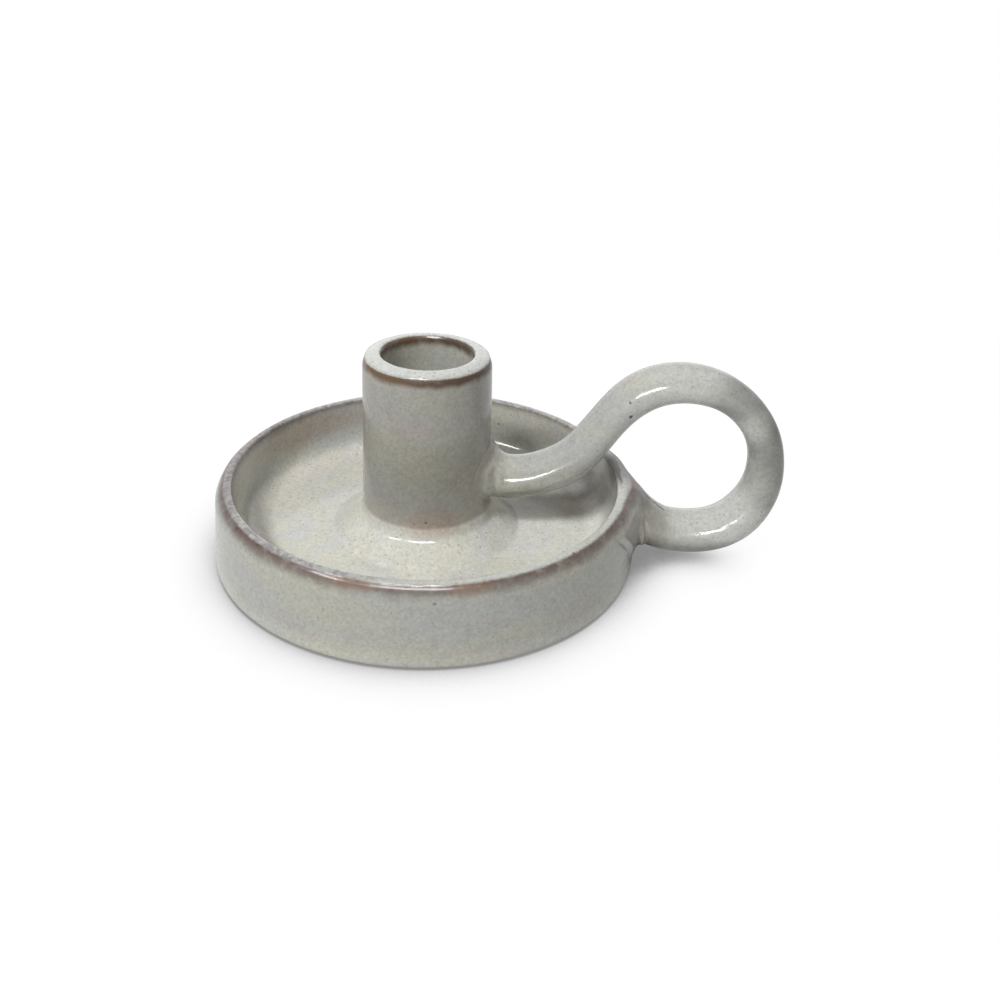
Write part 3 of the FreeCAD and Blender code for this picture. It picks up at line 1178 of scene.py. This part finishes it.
@dataclass
class WallPad(SlipJoint):
    """The wad of clay smeared from the rod's end over the outside of the wall, up to the rim.

    Each row of its fan is a direction on the wall, in degrees from level, and a reach from the centre.
    """

    around: int = 288
    rod_rows: int = 44
    wall_rows: int = 64
    rod_reach: float = 11.0
    low_reach: float = 3.2
    top_reach: float = 9.0
    reach_heights: Pair = (3.5, 11.0)
    sunk: float = 0.3
    centre_height: float = 10.9
    wall_radius: float = 54.5
    lean_start: float = 54.0
    lean: float = 0.45
    wing: float = 0.75
    wing_edge: float = 0.22
    fan_blur: float = 5.0
    rod_part: int = 110
    fan: tuple[Pair, ...] = (
        (-90, 9.4), (-60, 9.8), (-35, 11.8), (-10, 14.6), (5, 18.0), (12, 22.5),
        (17.5, 27.8), (22, 27.0), (30, 21.6), (45, 15.7), (60, 12.9), (90, 11.2),
    )
    creases: tuple[Crease, ...] = (
        Crease(0.45, 0.6, ((55.6, -10.0, 12.5), (55.7, -8.4, 9.8), (56.0, -6.6, 6.6), (56.6, -4.2, 4.2))),
        Crease(0.42, 0.65, (
            (56.9, -5.2, 16.0), (57.3, -6.8, 13.6), (57.7, -7.0, 11.0),
            (58.3, -6.2, 7.6), (59.1, -4.4, 4.8), (59.6, -2.0, 3.6),
        )),
        Crease(-0.35, 0.8, ((56.3, -7.8, 12.8), (56.6, -7.6, 9.6), (57.2, -6.0, 6.2), (58.0, -3.4, 4.0))),
        Crease(0.3, 0.8, ((56.9, 5.2, 16.0), (57.5, 6.9, 12.6), (58.0, 6.4, 8.6), (59.0, 4.2, 5.0))),
    )

    def fan_reach(self, angle: np.ndarray) -> np.ndarray:
        """Reach of the fan from its centre in a direction, with its corners rounded off.

        Args:
            angle: Directions in degrees from level.

        Returns:
            The reaches.
        """
        table = np.array(self.fan)
        upright = np.where(np.abs(angle) > 90, np.sign(angle) * 180 - angle, angle)
        spread = np.linspace(-self.fan_blur, self.fan_blur, 7)
        return np.mean([np.interp(upright + d, table[:, 0], table[:, 1]) for d in spread], axis=0)

    def smear(self, places: np.ndarray) -> np.ndarray:
        """Thickness of the smeared clay on the wall.

        Args:
            places: Points in millimetres.

        Returns:
            The thicknesses.
        """
        radius = np.hypot(places[:, 0], places[:, 1])
        along = np.arctan2(places[:, 1], places[:, 0]) * self.wall_radius
        height = places[:, 2] - self.centre_height + np.clip(self.lean_start - radius, 0, None) * self.lean
        reach = self.fan_reach(np.degrees(np.arctan2(height, along)))
        return self.wing * soft_step(1.0 - np.hypot(along, height) / reach, 0.0, self.wing_edge)

    def build(self, shop: Workshop, dish: Dish, handle: HandleLoop) -> Piece:
        """Smears and dresses the pad.

        Args:
            shop: The recipes and the glaze.
            dish: The dish that it lies on.
            handle: The rod that it is smeared from.

        Returns:
            The finished piece.
        """
        line = handle.line()
        first_point = len(line) - self.rod_part
        along = line[first_point:, 0]
        outside = dish.outside()
        lengths = np.concatenate([[0.0], np.cumsum(np.linalg.norm(np.diff(outside, axis=0), axis=1))])
        middle = float(np.interp(self.centre_height, outside[:, 1], lengths))
        wall = float(np.interp(self.centre_height, outside[:40, 1], outside[:40, 0]))
        at_wall, far = (first_point + nearest(along, wall + gap) for gap in (0.5, self.rod_reach))
        stations = np.linspace(far, at_wall, self.rod_rows)
        rings = [handle.ring(place, 0.0, self.around)[::-1] for place in stations]
        across, over = rings[-1][:, 1], rings[-1][:, 2] - self.centre_height
        turns, start = np.degrees(np.arctan2(over, across)), np.hypot(over, across)
        for share in np.linspace(0, 1, self.wall_rows)[1:]:
            reach = start + (self.fan_reach(turns) - start) * share
            turn = reach * np.cos(np.radians(turns)) / self.wall_radius
            height = middle + reach * np.sin(np.radians(turns))
            radius, level = (np.interp(height, lengths, outside[:, i]) for i in (0, 1))
            rings.append(np.stack([radius * np.cos(turn), radius * np.sin(turn), level], -1))
        rod = partial(handle.distance, part=slice(first_point, len(line)))
        piece = self.shell("wall_pad_glazed", rings, dish.distance, rod)
        return shop.finish(piece, Method.MODELLED, ["handle_wall_pad"], Wheel_Rings=0.0)


# Finishes.


@dataclass(frozen=True)
class IronSpot:
    """One speck of iron that has melted through the glaze."""

    place: Point
    radius: float
    strength: float = 0.8
    edge: Pair = (1.15, 0.6)

    def share(self, glaze: GlazeMap) -> Wire:
        """Share of the spot at a place."""
        away = glaze.distance(self.place) + (glaze.fine_noise - 0.5) * glaze.ragged
        return away.eased(self.radius * self.edge[0], self.radius * self.edge[1]) * self.strength


@dataclass(frozen=True)
class GlazeAndShadePatch:
    """A soft-edged region painted another tone: some are the glaze's own tone, others painted shade and
    painted shadow.
    """

    place: Point
    reach: Point
    tone: Tone
    strength: float = 1.0
    edge: Pair = (1.25, 0.45)
    fray: float = 0.7

    def share(self, glaze: GlazeMap, noise: Wire) -> Wire:
        """Share of the patch at a place.

        Args:
            glaze: Where the place is.
            noise: Frays the edge.

        Returns:
            The share.
        """
        bench = glaze.bench
        away = bench.vector("DIVIDE", bench.vector("SUBTRACT", glaze.place, self.place), self.reach)
        far = bench.vector("LENGTH", away, output="Value") + (noise - 0.5) * self.fray
        return far.eased(*self.edge) * self.strength


@dataclass(frozen=True)
class DarkLine:
    """A thin dark line on the glaze. Over an edge it is dark glaze broken there; in a crease or crevice it
    is painted shade, with dark glaze gathered there; on the rim under the loop it is painted shadow.
    """

    width: float
    strength: float
    path: tuple[Point, ...]
    core: float = 0.3

    def share(self, glaze: GlazeMap) -> Wire:
        """Share of the line at a place.

        Args:
            glaze: Where the place is.

        Returns:
            The share.
        """
        bench = glaze.bench
        closest: Wire | None = None
        for start, end in zip(self.path, self.path[1:]):
            step = Vector(end) - Vector(start)
            gap = bench.vector("SUBTRACT", glaze.place, start)
            along = bench.vector("DOT_PRODUCT", gap, tuple(step / step.length_squared), output="Value")
            along = along.larger(0.0).smaller(1.0)
            reach = bench.vector("SCALE", tuple(step), along)
            away = bench.vector("DISTANCE", gap, reach, output="Value")
            closest = away if closest is None else closest.smaller(away)
        ragged = closest + (glaze.fine_noise - 0.5) * self.width
        return ragged.eased(self.width, self.width * self.core) * self.strength


IRON_SPOTS = (
    IronSpot((50.1, -5.0, 45.7), 0.42),
    IronSpot((50.7, -4.8, 41.9), 0.60, 0.95),
    IronSpot((16.3, 46.7, 13.5), 0.5, 0.5),
    IronSpot((8.2, -53.6, 17.2), 0.55, 0.5),
    IronSpot((14.3, -12.5, 8.9), 0.45, 0.7),
    IronSpot((38.1, -35.0, 20.5), 0.45, 0.7),
    IronSpot((-37.9, -37.4, 19.0), 0.35, 0.6),
    IronSpot((-25.7, 35.8, 5.7), 0.4, 0.7),
    IronSpot((1.7, -16.8, 15.1), 0.35, 0.8),
    IronSpot((-1.3, -16.8, 14.6), 0.3, 0.5),
    IronSpot((49.3, 5.7, 19.5), 0.6, 0.8),
    IronSpot((49.3, 6.9, 16.3), 0.5, 0.7),
)

GLAZE_AND_SHADE_PATCHES = (
    GlazeAndShadePatch((89.5, 0.0, 33.0), (10.0, 12.0, 19.0), paint(174, 173, 173)),
    GlazeAndShadePatch((78.5, 0.0, 47.0), (10.0, 12.0, 7.0), paint(205, 204, 205)),
    # Painted shade under the loop's bottom.
    GlazeAndShadePatch((72.0, 0.0, 2.8), (22.0, 12.0, 6.8), paint(150, 148, 146)),
    # Painted shade on the lower side of the rod as it leaves the socket.
    GlazeAndShadePatch((28.0, -5.0, 16.8), (13.0, 5.0, 4.2), paint(196, 194, 191)),
    # Painted shadow of the loop on the rim beside the pad.
    GlazeAndShadePatch((50.8, 8.8, 20.2), (5.0, 9.5, 4.5), paint(124, 117, 110)),
    GlazeAndShadePatch((56.0, 0.5, 18.0), (4.0, 7.0, 4.5), paint(196, 189, 182)),
    # Painted shade on the rim's left side.
    GlazeAndShadePatch((-47.0, 12.0, 20.6), (12.0, 46.0, 2.6), paint(222, 218, 221)),
    GlazeAndShadePatch((59.0, -8.0, 10.0), (6.0, 11.0, 11.0), paint(214, 209, 202), 0.8),
    # Painted shade under the top of the loop.
    GlazeAndShadePatch((66.0, 0.0, 43.5), (14.0, 8.0, 3.5), paint(222, 221, 224)),
    GlazeAndShadePatch((4.0, -16.0, 15.0), (8.0, 5.0, 5.0), paint(246, 232, 228), 0.8),
    GlazeAndShadePatch((2.0, -16.0, 28.0), (11.0, 6.0, 8.0), paint(240, 240, 234), 0.6),
    GlazeAndShadePatch((-38.0, 28.0, 15.5), (18.0, 30.0, 5.0), paint(243, 230, 224)),
    # Painted shadow of the rod on the dish floor.
    GlazeAndShadePatch((33.8, 12.9, 5.6), (17.0, 8.0, 4.0), paint(206, 204, 204)),
    # Painted shadow on the cove behind the rod.
    GlazeAndShadePatch((41.3, 22.8, 7.7), (9.0, 8.0, 6.0), paint(172, 172, 172)),
    GlazeAndShadePatch((40.0, 30.0, 14.0), (22.0, 26.0, 5.0), paint(232, 228, 226)),
)

DARK_LINES = (
    DarkLine(0.65, 0.8, (
        (54.0, 5.4, 19.0), (55.8, 1.1, 19.1), (57.9, -0.6, 17.8),
        (60.3, -0.2, 15.6), (62.5, -1.2, 14.6),
    )),
    # Painted shade in the pad's two creases, with dark glaze gathered there.
    DarkLine(0.45, 0.45, ((54.9, -9.9, 11.0), (55.3, -8.0, 8.6), (55.9, -5.2, 5.0))),
    DarkLine(0.5, 0.55, ((57.3, -6.8, 9.6), (57.8, -6.1, 7.8), (58.6, -4.6, 5.4))),
    # Painted shade in the crevice under the rod at the socket, with dark glaze gathered there.
    DarkLine(0.55, 0.75, ((17.9, -5.4, 17.5), (19.4, -5.4, 17.5), (21.2, -4.0, 16.5))),
    # Painted shadow of the loop on the rim's inner edge.
    DarkLine(0.65, 0.85, ((49.5, 14.5, 20.4), (49.3, 10.2, 20.1), (49.2, 6.0, 19.6))),
)

RUST_PLACES = ((-10.5, -51.2, 20.2), (15.8, -50.4, 19.8))


@dataclass(frozen=True)
class PooledGlaze:
    """Off-white stoneware glaze: creamy in pools, grey and rosy where thinner, brown where it breaks."""

    pooled: Tone = paint(229, 228, 214)
    lilac_pool: Tone = paint(226, 226, 222)
    rosy_pool: Tone = paint(238, 232, 222)
    green_cream: Tone = paint(202, 202, 190)
    grey: Tone = paint(196, 197, 194)
    rose: Tone = paint(200, 190, 184)
    # Paler tone of the crests: thick white glaze, lightened as painted light.
    light: Tone = paint(230, 232, 226)
    rod: Tone = paint(219, 220, 214)
    socket_tone: Tone = paint(220, 218, 216)
    wall_tone: Tone = paint(236, 236, 234)
    foot_rose: Tone = paint(168, 156, 148)
    # Darker lilac grey: painted shade on the rim's left and back.
    shaded_rim: Tone = paint(142, 134, 138)
    speck: Tone = paint(150, 146, 132)
    iron: Tone = paint(62, 50, 42)
    rim_brown: Tone = paint(114, 98, 92)
    rim_dark: Tone = paint(92, 70, 68)
    rim_rust: Tone = paint(129, 99, 80)
    lip_brown: Tone = paint(92, 74, 60)
    # Golder brown of the lip's band on its left: painted light on the side the key lamp faces.
    lip_lit_gold: Tone = paint(112, 86, 62)
    clay: Tone = paint(188, 168, 142)
    gloss_roughness: float = 0.16
    coat: float = 0.35
    coat_roughness: float = 0.06
    refraction: float = 1.5
    wheel_stretch: Point = (1.0, 1.0, 2.4)

    def make(self) -> bpy.types.Material:
        """Builds the glaze.

        Returns:
            The material.
        """
        material = bpy.data.materials.new("stoneware_glaze")
        bench = Bench.of(material)
        place = bench.vector("SCALE", bench.node("ShaderNodeTexCoord", None, None, "Object"), 1.0 / MM)
        glaze = GlazeMap(bench, place)
        colour = self._zoned(glaze, self._mottled(glaze))
        noise = bench.cloud(place, 0.14, 3.0, 40.0)
        # Glaze tones, and painted shade and shadow on undersides, the rim and the floor.
        for patch in GLAZE_AND_SHADE_PATCHES:
            colour = bench.tinted(patch.share(glaze, noise), colour, patch.tone)
        # iron also covers the dark lines, among them painted shade and shadow.
        colour, iron = self._specked(glaze, colour)
        colour, thin = self._broken(glaze, colour)
        bare = (glaze.height + (glaze.edge_noise - 0.5) * 0.8).eased(0.75, 0.45)
        colour = bench.mixed(bare, colour, self.clay)
        grain = bench.cloud(place, 2.6, 3.0, 21.0)
        rough = self.gloss_roughness + (grain - 0.5) * 0.08 + thin * 0.1 + iron * 0.15 + bare * 0.6
        height = (bench.cloud(place, 0.5, 2.0, 30.0) - 0.5) * 0.035 + (grain - 0.5) * 0.008 + iron * -0.02
        height = height + bare * (bench.cloud(place, 5.0, 2.0, 31.0) - 0.5) * 0.1
        bump = bench.node("ShaderNodeBump", None, {"Strength": 1.0, "Distance": MM, "Height": height})
        sockets = {
            "Base Color": colour,
            "Roughness": rough,
            "IOR": self.refraction,
            "Normal": bump,
            "Coat Weight": (1.0 - bare) * self.coat,
            "Coat Roughness": self.coat_roughness,
            "Coat IOR": self.refraction,
        }
        shader = bench.node("ShaderNodeBsdfPrincipled", None, sockets)
        bench.node("ShaderNodeOutputMaterial", None, {"Surface": shader})
        return material

    def _mottled(self, glaze: GlazeMap) -> Wire:
        """Grey and green cream in broad clouds, with rosy ones over them, and pools on the floor.

        Args:
            glaze: Where the place is.

        Returns:
            The colour.
        """
        bench = glaze.bench
        banded = bench.vector("MULTIPLY", glaze.place, self.wheel_stretch)
        broad = bench.cloud(banded, 0.035, 2.0, 1.0, 0.4)
        rosy = bench.cloud(banded, 0.06, 3.0, 2.0, 0.6)
        pools = bench.cloud(glaze.place, 0.09, 3.0, 17.0, 0.8)
        colour = bench.mixed(broad.eased(0.38, 0.62), self.grey, self.green_cream)
        colour = bench.mixed(rosy.eased(0.52, 0.72) * 0.6, colour, self.rose)
        pool = bench.mixed(pools.eased(0.4, 0.68), self.pooled, self.lilac_pool)
        cove = glaze.radius.eased(39.5, 43.5) * rosy.eased(0.3, 0.6)
        pool = bench.mixed(cove * 0.8, pool, self.rosy_pool)
        return bench.mixed(DISH_FLOOR.share(glaze).larger(FOOT_SLOPE.share(glaze)), colour, pool)

    def _zoned(self, glaze: GlazeMap, colour: Wire) -> Wire:
        """Tones each part of the object, with painted light on the crests and painted shade on the rim's
        left and back, then gives all of it a fine mottling.

        Args:
            glaze: Where the place is.
            colour: The glaze before.

        Returns:
            The colour.
        """
        bench = glaze.bench
        colour = bench.tinted(DISH_WALL.share(glaze), colour, self.wall_tone)
        colour = bench.mixed(WALL_FOOT.share(glaze) * 0.25, colour, self.pooled)
        rod = ROD_ABOVE_RIM.share(glaze).larger(ROD_OUTSIDE.share(glaze))
        colour = bench.mixed(rod * 0.8, colour, self.rod)
        # Painted light: the crests are paler, thick white glaze lit from above.
        colour = bench.mixed(RIM_CREST.share(glaze) * 0.55, colour, self.light)
        colour = bench.mixed(LIP_CREST.share(glaze), colour, self.light)
        colour = bench.tinted(SOCKET_WALL.share(glaze), colour, self.socket_tone)
        colour = bench.mixed(SOCKET_FOOT.share(glaze) * 0.5, colour, self.foot_rose)
        # Painted shade: the rim's left and back turn a darker lilac grey, broken up by mottled bits.
        bits = bench.cloud(glaze.place, 0.8, 3.0, 44.0)
        shaded = SHADED_RIM.share(glaze) * glaze.x.eased(8.0, -18.0).larger(glaze.y.eased(2.0, 25.0))
        colour = bench.mixed(shaded * (bits.eased(0.4, 0.64) * 0.5 + 0.28), colour, self.shaded_rim)
        mottled = bench.cloud(glaze.place, 0.5, 4.0, 3.0)
        grain = bench.cloud(glaze.place, 1.5, 3.0, 5.0)
        shade = 0.96 + (mottled - 0.5) * 0.24 + (grain - 0.5) * 0.6
        tone = bench.node("ShaderNodeCombineXYZ", None, {"X": shade, "Y": shade, "Z": shade})
        return bench.mixed(1.0, colour, tone, "MULTIPLY")

    def _specked(self, glaze: GlazeMap, colour: Wire) -> tuple[Wire, Wire]:
        """Adds fine specks all over, the iron spots, and the dark lines: broken glaze, and painted shade and
        shadow.

        Args:
            glaze: Where the place is.
            colour: The glaze before.

        Returns:
            The colour, and the share of the iron spots and the dark lines.
        """
        bench = glaze.bench
        sockets = {"Vector": glaze.place, "Scale": 0.9, "Randomness": 1.0}
        cells = bench.node("ShaderNodeTexVoronoi", None, sockets)
        pick = bench.node("ShaderNodeSeparateColor", None, {0: cells.output("Color")}, "Red")
        fine = cells.eased(0.3, 0.14) * pick.eased(0.6, 0.95)
        colour = bench.mixed(fine * 0.6, colour, self.speck)
        soft = bench.cloud(glaze.place, 0.8, 3.0, 6.0)
        colour = bench.mixed(soft.eased(0.6, 0.74) * 0.3, colour, self.speck)
        # The iron share also carries the dark lines, painted shade and shadow among them.
        shares = [mark.share(glaze) for mark in (*IRON_SPOTS, *DARK_LINES)]
        iron = shares[0]
        for share in shares[1:]:
            iron = iron.larger(share)
        return bench.mixed(iron, colour, self.iron), iron

    def _broken(self, glaze: GlazeMap, colour: Wire) -> tuple[Wire, Wire]:
        """Adds brown where the glaze breaks over the rims, darkest just under the edge, with painted light
        turning the lip's band golder on its left.

        Args:
            glaze: Where the place is.
            colour: The glaze before.

        Returns:
            The colour, and the share of thin glaze.
        """
        bench = glaze.bench
        blots = bench.cloud(glaze.place, 0.42, 3.0, 13.0)
        rusty: Wire | float = 0.0
        for place in RUST_PLACES:
            away = glaze.distance(place) + (blots - 0.5) * 5.0
            rusty = away.eased(7.0, 2.5).larger(rusty)
        fade = RIM_BAND.run(glaze.radius, glaze.height).eased(3.4, 0.2) * 0.7 + 0.3
        rim = glaze.thin(RIM_BAND, 0.9) * fade * (blots.eased(0.25, 0.55) * 0.4 + 0.6)
        lip = glaze.thin(LIP_BAND, 0.5).larger(glaze.thin(LIP_INNER_BAND, 0.5))
        lip = lip * (blots.eased(0.2, 0.5) * 0.25 + 0.75)
        rust = bench.mixed(rusty, self.rim_brown, self.rim_rust)
        rust = bench.mixed(blots.eased(0.58, 0.72), rust, self.rim_dark)
        colour = bench.mixed(rim.larger(glaze.thin(RIM_INNER_BAND, 0.6) * 0.5), colour, rust)
        # Painted light: the lip's band is golder on its left, where the key lamp falls.
        lit = bench.mixed(glaze.x.eased(6.0, -8.0), self.lip_brown, self.lip_lit_gold)
        return bench.mixed(lip * 0.95, colour, lit), rim.larger(lip)


@dataclass(frozen=True)
class TableFinish:
    """The pale table: white to the eye, with the object's soft shadow left on it.

    Distances are metres. The contact shadow is weaker out under the loop, which stands clear of the table.
    """

    surface: Tone = (0.86, 0.86, 0.86, 1.0)
    shown: Tone = (0.045, 0.045, 0.045, 1.0)
    glow: float = 0.983
    contact_reach: float = 0.034
    contact_depth: float = 5.2
    darkest: float = 0.75
    under_loop: Pair = (0.05, 0.07)
    loop_share: float = 0.65
    edge: Pair = (0.16, 0.3)

    def make(self) -> bpy.types.Material:
        """Builds the table's surface.

        Returns:
            The material.
        """
        material = bpy.data.materials.new("pale_table")
        bench = Bench.of(material)
        sockets = {"Distance": self.contact_reach}
        near = bench.node("ShaderNodeAmbientOcclusion", {"samples": 12}, sockets, "AO")
        place = bench.node("ShaderNodeTexCoord", None, None, "Object")
        weaker = 1.0 - bench.split(place).eased(*self.under_loop) * self.loop_share
        contact = (1.0 - near) ** 3.0 * self.contact_depth * weaker
        tone = bench.mixed(contact.smaller(self.darkest), WHITE, BLACK)
        plain = bench.node("ShaderNodeBsdfDiffuse", None, {"Color": self.surface})
        dim = bench.node("ShaderNodeBsdfDiffuse", None, {"Color": self.shown})
        glow = bench.node("ShaderNodeEmission", None, {"Color": tone, "Strength": self.glow})
        shown = bench.node("ShaderNodeAddShader", None, {0: dim, 1: glow})
        away = bench.vector("LENGTH", place, output="Value").eased(*self.edge)
        white = bench.node("ShaderNodeEmission", None, {"Color": WHITE, "Strength": 1.0})
        fading = bench.node("ShaderNodeMixShader", None, {0: away, 1: shown, 2: white})
        bench.node("ShaderNodeOutputMaterial", None, {"Surface": bench.seen_as(fading, plain)})
        return material


# Studio.


class Shown(Enum):
    """The pieces in which a lamp is seen."""

    NONE = "none"
    HANDLE = "handle"
    VESSEL = "vessel"
    SOCKET = "socket"


@dataclass(frozen=True)
class SoftLamp:
    """One flat lamp that looks at the object, either as light or as a window seen in the gloss.

    Turn and rise are degrees; distance, width and tall are metres.
    """

    name: str
    turn: float
    rise: float
    distance: float
    width: float
    tall: float
    power: float
    shown: Shown = Shown.NONE

    def make(self, aim: Vector, pieces: Mapping[Shown, bpy.types.Collection]) -> None:
        """Hangs the lamp.

        Args:
            aim: Point that it faces, in metres.
            pieces: The pieces of each group.
        """
        data = bpy.data.lights.new(self.name, "AREA")
        data.shape = "RECTANGLE"
        data.size, data.size_y = self.width, self.tall
        data.energy = self.power
        lamp = bpy.data.objects.new(self.name, data)
        turn, rise = math.radians(self.turn), math.radians(self.rise)
        away = Vector((math.sin(turn) * math.cos(rise), -math.cos(turn) * math.cos(rise), math.sin(rise)))
        lamp.location = aim + away * self.distance
        lamp.rotation_mode = "QUATERNION"
        lamp.rotation_quaternion = away.to_track_quat("Z", "Y")
        window = self.shown is not Shown.NONE
        lamp.visible_glossy = window
        lamp.visible_diffuse = not window
        lamp.visible_camera = False
        bpy.context.scene.collection.objects.link(lamp)
        if window:
            lamp.light_linking.receiver_collection = pieces[self.shown]


LAMPS = (
    SoftLamp("key", -30.0, 50.0, 1.1, 0.32, 0.06, 7.6),
    SoftLamp("low_window", -1.6, 6.0, 1.0, 0.205, 0.13, 2.8, Shown.HANDLE),
    SoftLamp("low_pane", -11.3, 6.0, 1.0, 0.055, 0.13, 0.9, Shown.HANDLE),
    SoftLamp("high_window", -6.0, 58.0, 1.0, 0.55, 0.2, 5.2, Shown.VESSEL),
    SoftLamp("high_pane", -62.0, 50.0, 1.0, 0.27, 0.08, 1.7, Shown.VESSEL),
    SoftLamp("lip_window", -17.0, 56.0, 1.0, 0.4, 0.55, 12.0, Shown.SOCKET),
)


@dataclass(frozen=True)
class Room:
    """The soft light of the room, stronger from some sides than from others."""

    above: float = 0.38
    left: float = 0.18
    front: float = 0.08
    right: float = 0.08
    back: float = 1.2

    def make(self) -> bpy.types.World:
        """Builds the room's light; the eye sees plain white instead.

        Returns:
            The world.
        """
        world = bpy.data.worlds.new("room")
        bench = Bench.of(world)
        way = bench.split(bench.node("ShaderNodeTexCoord", None, None, "Object"))
        across, top = way.output("Y"), way.output("Z").eased(0.3, 0.95)
        sides: Wire | float = 0.0
        for axis, low, high in ((way, self.left, self.right), (across, self.front, self.back)):
            sides = sides + (axis * -1.0).larger(0.0) ** 2.0 * low
            sides = sides + axis.larger(0.0) ** 2.0 * high
        level = top * self.above + (1.0 - top) * sides
        soft = bench.node("ShaderNodeBackground", None, {"Color": WHITE, "Strength": level})
        white = bench.node("ShaderNodeBackground", None, {"Color": WHITE, "Strength": 1.0})
        bench.node("ShaderNodeOutputWorld", None, {"Surface": bench.seen_as(white, soft)})
        return world


@dataclass(frozen=True)
class Studio:
    """Camera, lamps, room and table. The lamps' aim is in metres, the other places in millimetres."""

    camera_place: Point = (27.202, -224.608, 141.891)
    camera_aim: Point = (19.335, 0.675, 13.105)
    camera_roll: float = 2.57
    lens: float = 35.194
    lamp_aim: Point = (0.02, 0.0, 0.02)
    table_reach: float = 3000.0
    table_height: float = -0.05

    def place_camera(self) -> None:
        """Sets the camera where the photograph was taken from."""
        data = bpy.data.cameras.new("camera")
        data.sensor_fit = "HORIZONTAL"
        data.sensor_width = 36.0
        data.lens = self.lens
        data.clip_start, data.clip_end = 0.01, 50.0
        camera = bpy.data.objects.new("camera", data)
        back = (Vector(self.camera_place) - Vector(self.camera_aim)).normalized()
        level = Vector((0, 0, 1)).cross(back).normalized()
        rise = back.cross(level)
        roll = math.radians(self.camera_roll)
        right = level * math.cos(roll) + rise * math.sin(roll)
        up = rise * math.cos(roll) - level * math.sin(roll)
        frame = Matrix((right, up, back)).transposed().to_4x4()
        camera.matrix_world = Matrix.Translation(Vector(self.camera_place) * MM) @ frame
        bpy.context.scene.collection.objects.link(camera)
        bpy.context.scene.camera = camera

    def light(self, groups: Mapping[Shown, Sequence[Piece]]) -> None:
        """Hangs the lamps and fills the room with a soft white.

        Args:
            groups: The pieces in which each kind of window is seen.
        """
        pieces = {}
        for shown, members in groups.items():
            pieces[shown] = bpy.data.collections.new(shown.value)
            for member in members:
                pieces[shown].objects.link(member)
        for lamp in LAMPS:
            lamp.make(Vector(self.lamp_aim), pieces)
        bpy.context.scene.world = Room().make()

    def lay_table(self) -> None:
        """Lays the table under the object."""
        signs = ((-1, -1), (1, -1), (1, 1), (-1, 1))
        reach = self.table_reach
        corners = np.array([(x * reach, y * reach, self.table_height) for x, y in signs])
        table = set_down("table", corners, faces=[(0, 1, 2, 3)])
        table.data.materials.append(TableFinish().make())


def main() -> None:
    """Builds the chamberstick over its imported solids, dresses it and lights it."""
    logging.basicConfig(level=logging.INFO, format="%(name)s %(message)s")
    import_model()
    bpy.context.scene.view_settings.view_transform = "Standard"
    shop = Workshop(PooledGlaze().make())
    dish, socket, handle = Dish(), CandleSocket(), HandleLoop()
    cup = socket.build(shop)
    vessel = [dish.build(shop), FootSlip().build(shop, socket)]
    rod = [
        handle.build(shop),
        RootSlip().build(shop, socket, handle),
        WallPad().build(shop, dish, handle),
    ]
    studio = Studio()
    studio.place_camera()
    studio.light({Shown.VESSEL: vessel, Shown.HANDLE: rod, Shown.SOCKET: [cup]})
    studio.lay_table()
    bpy.context.view_layer.update()


if __name__ == "__main__":
    main()
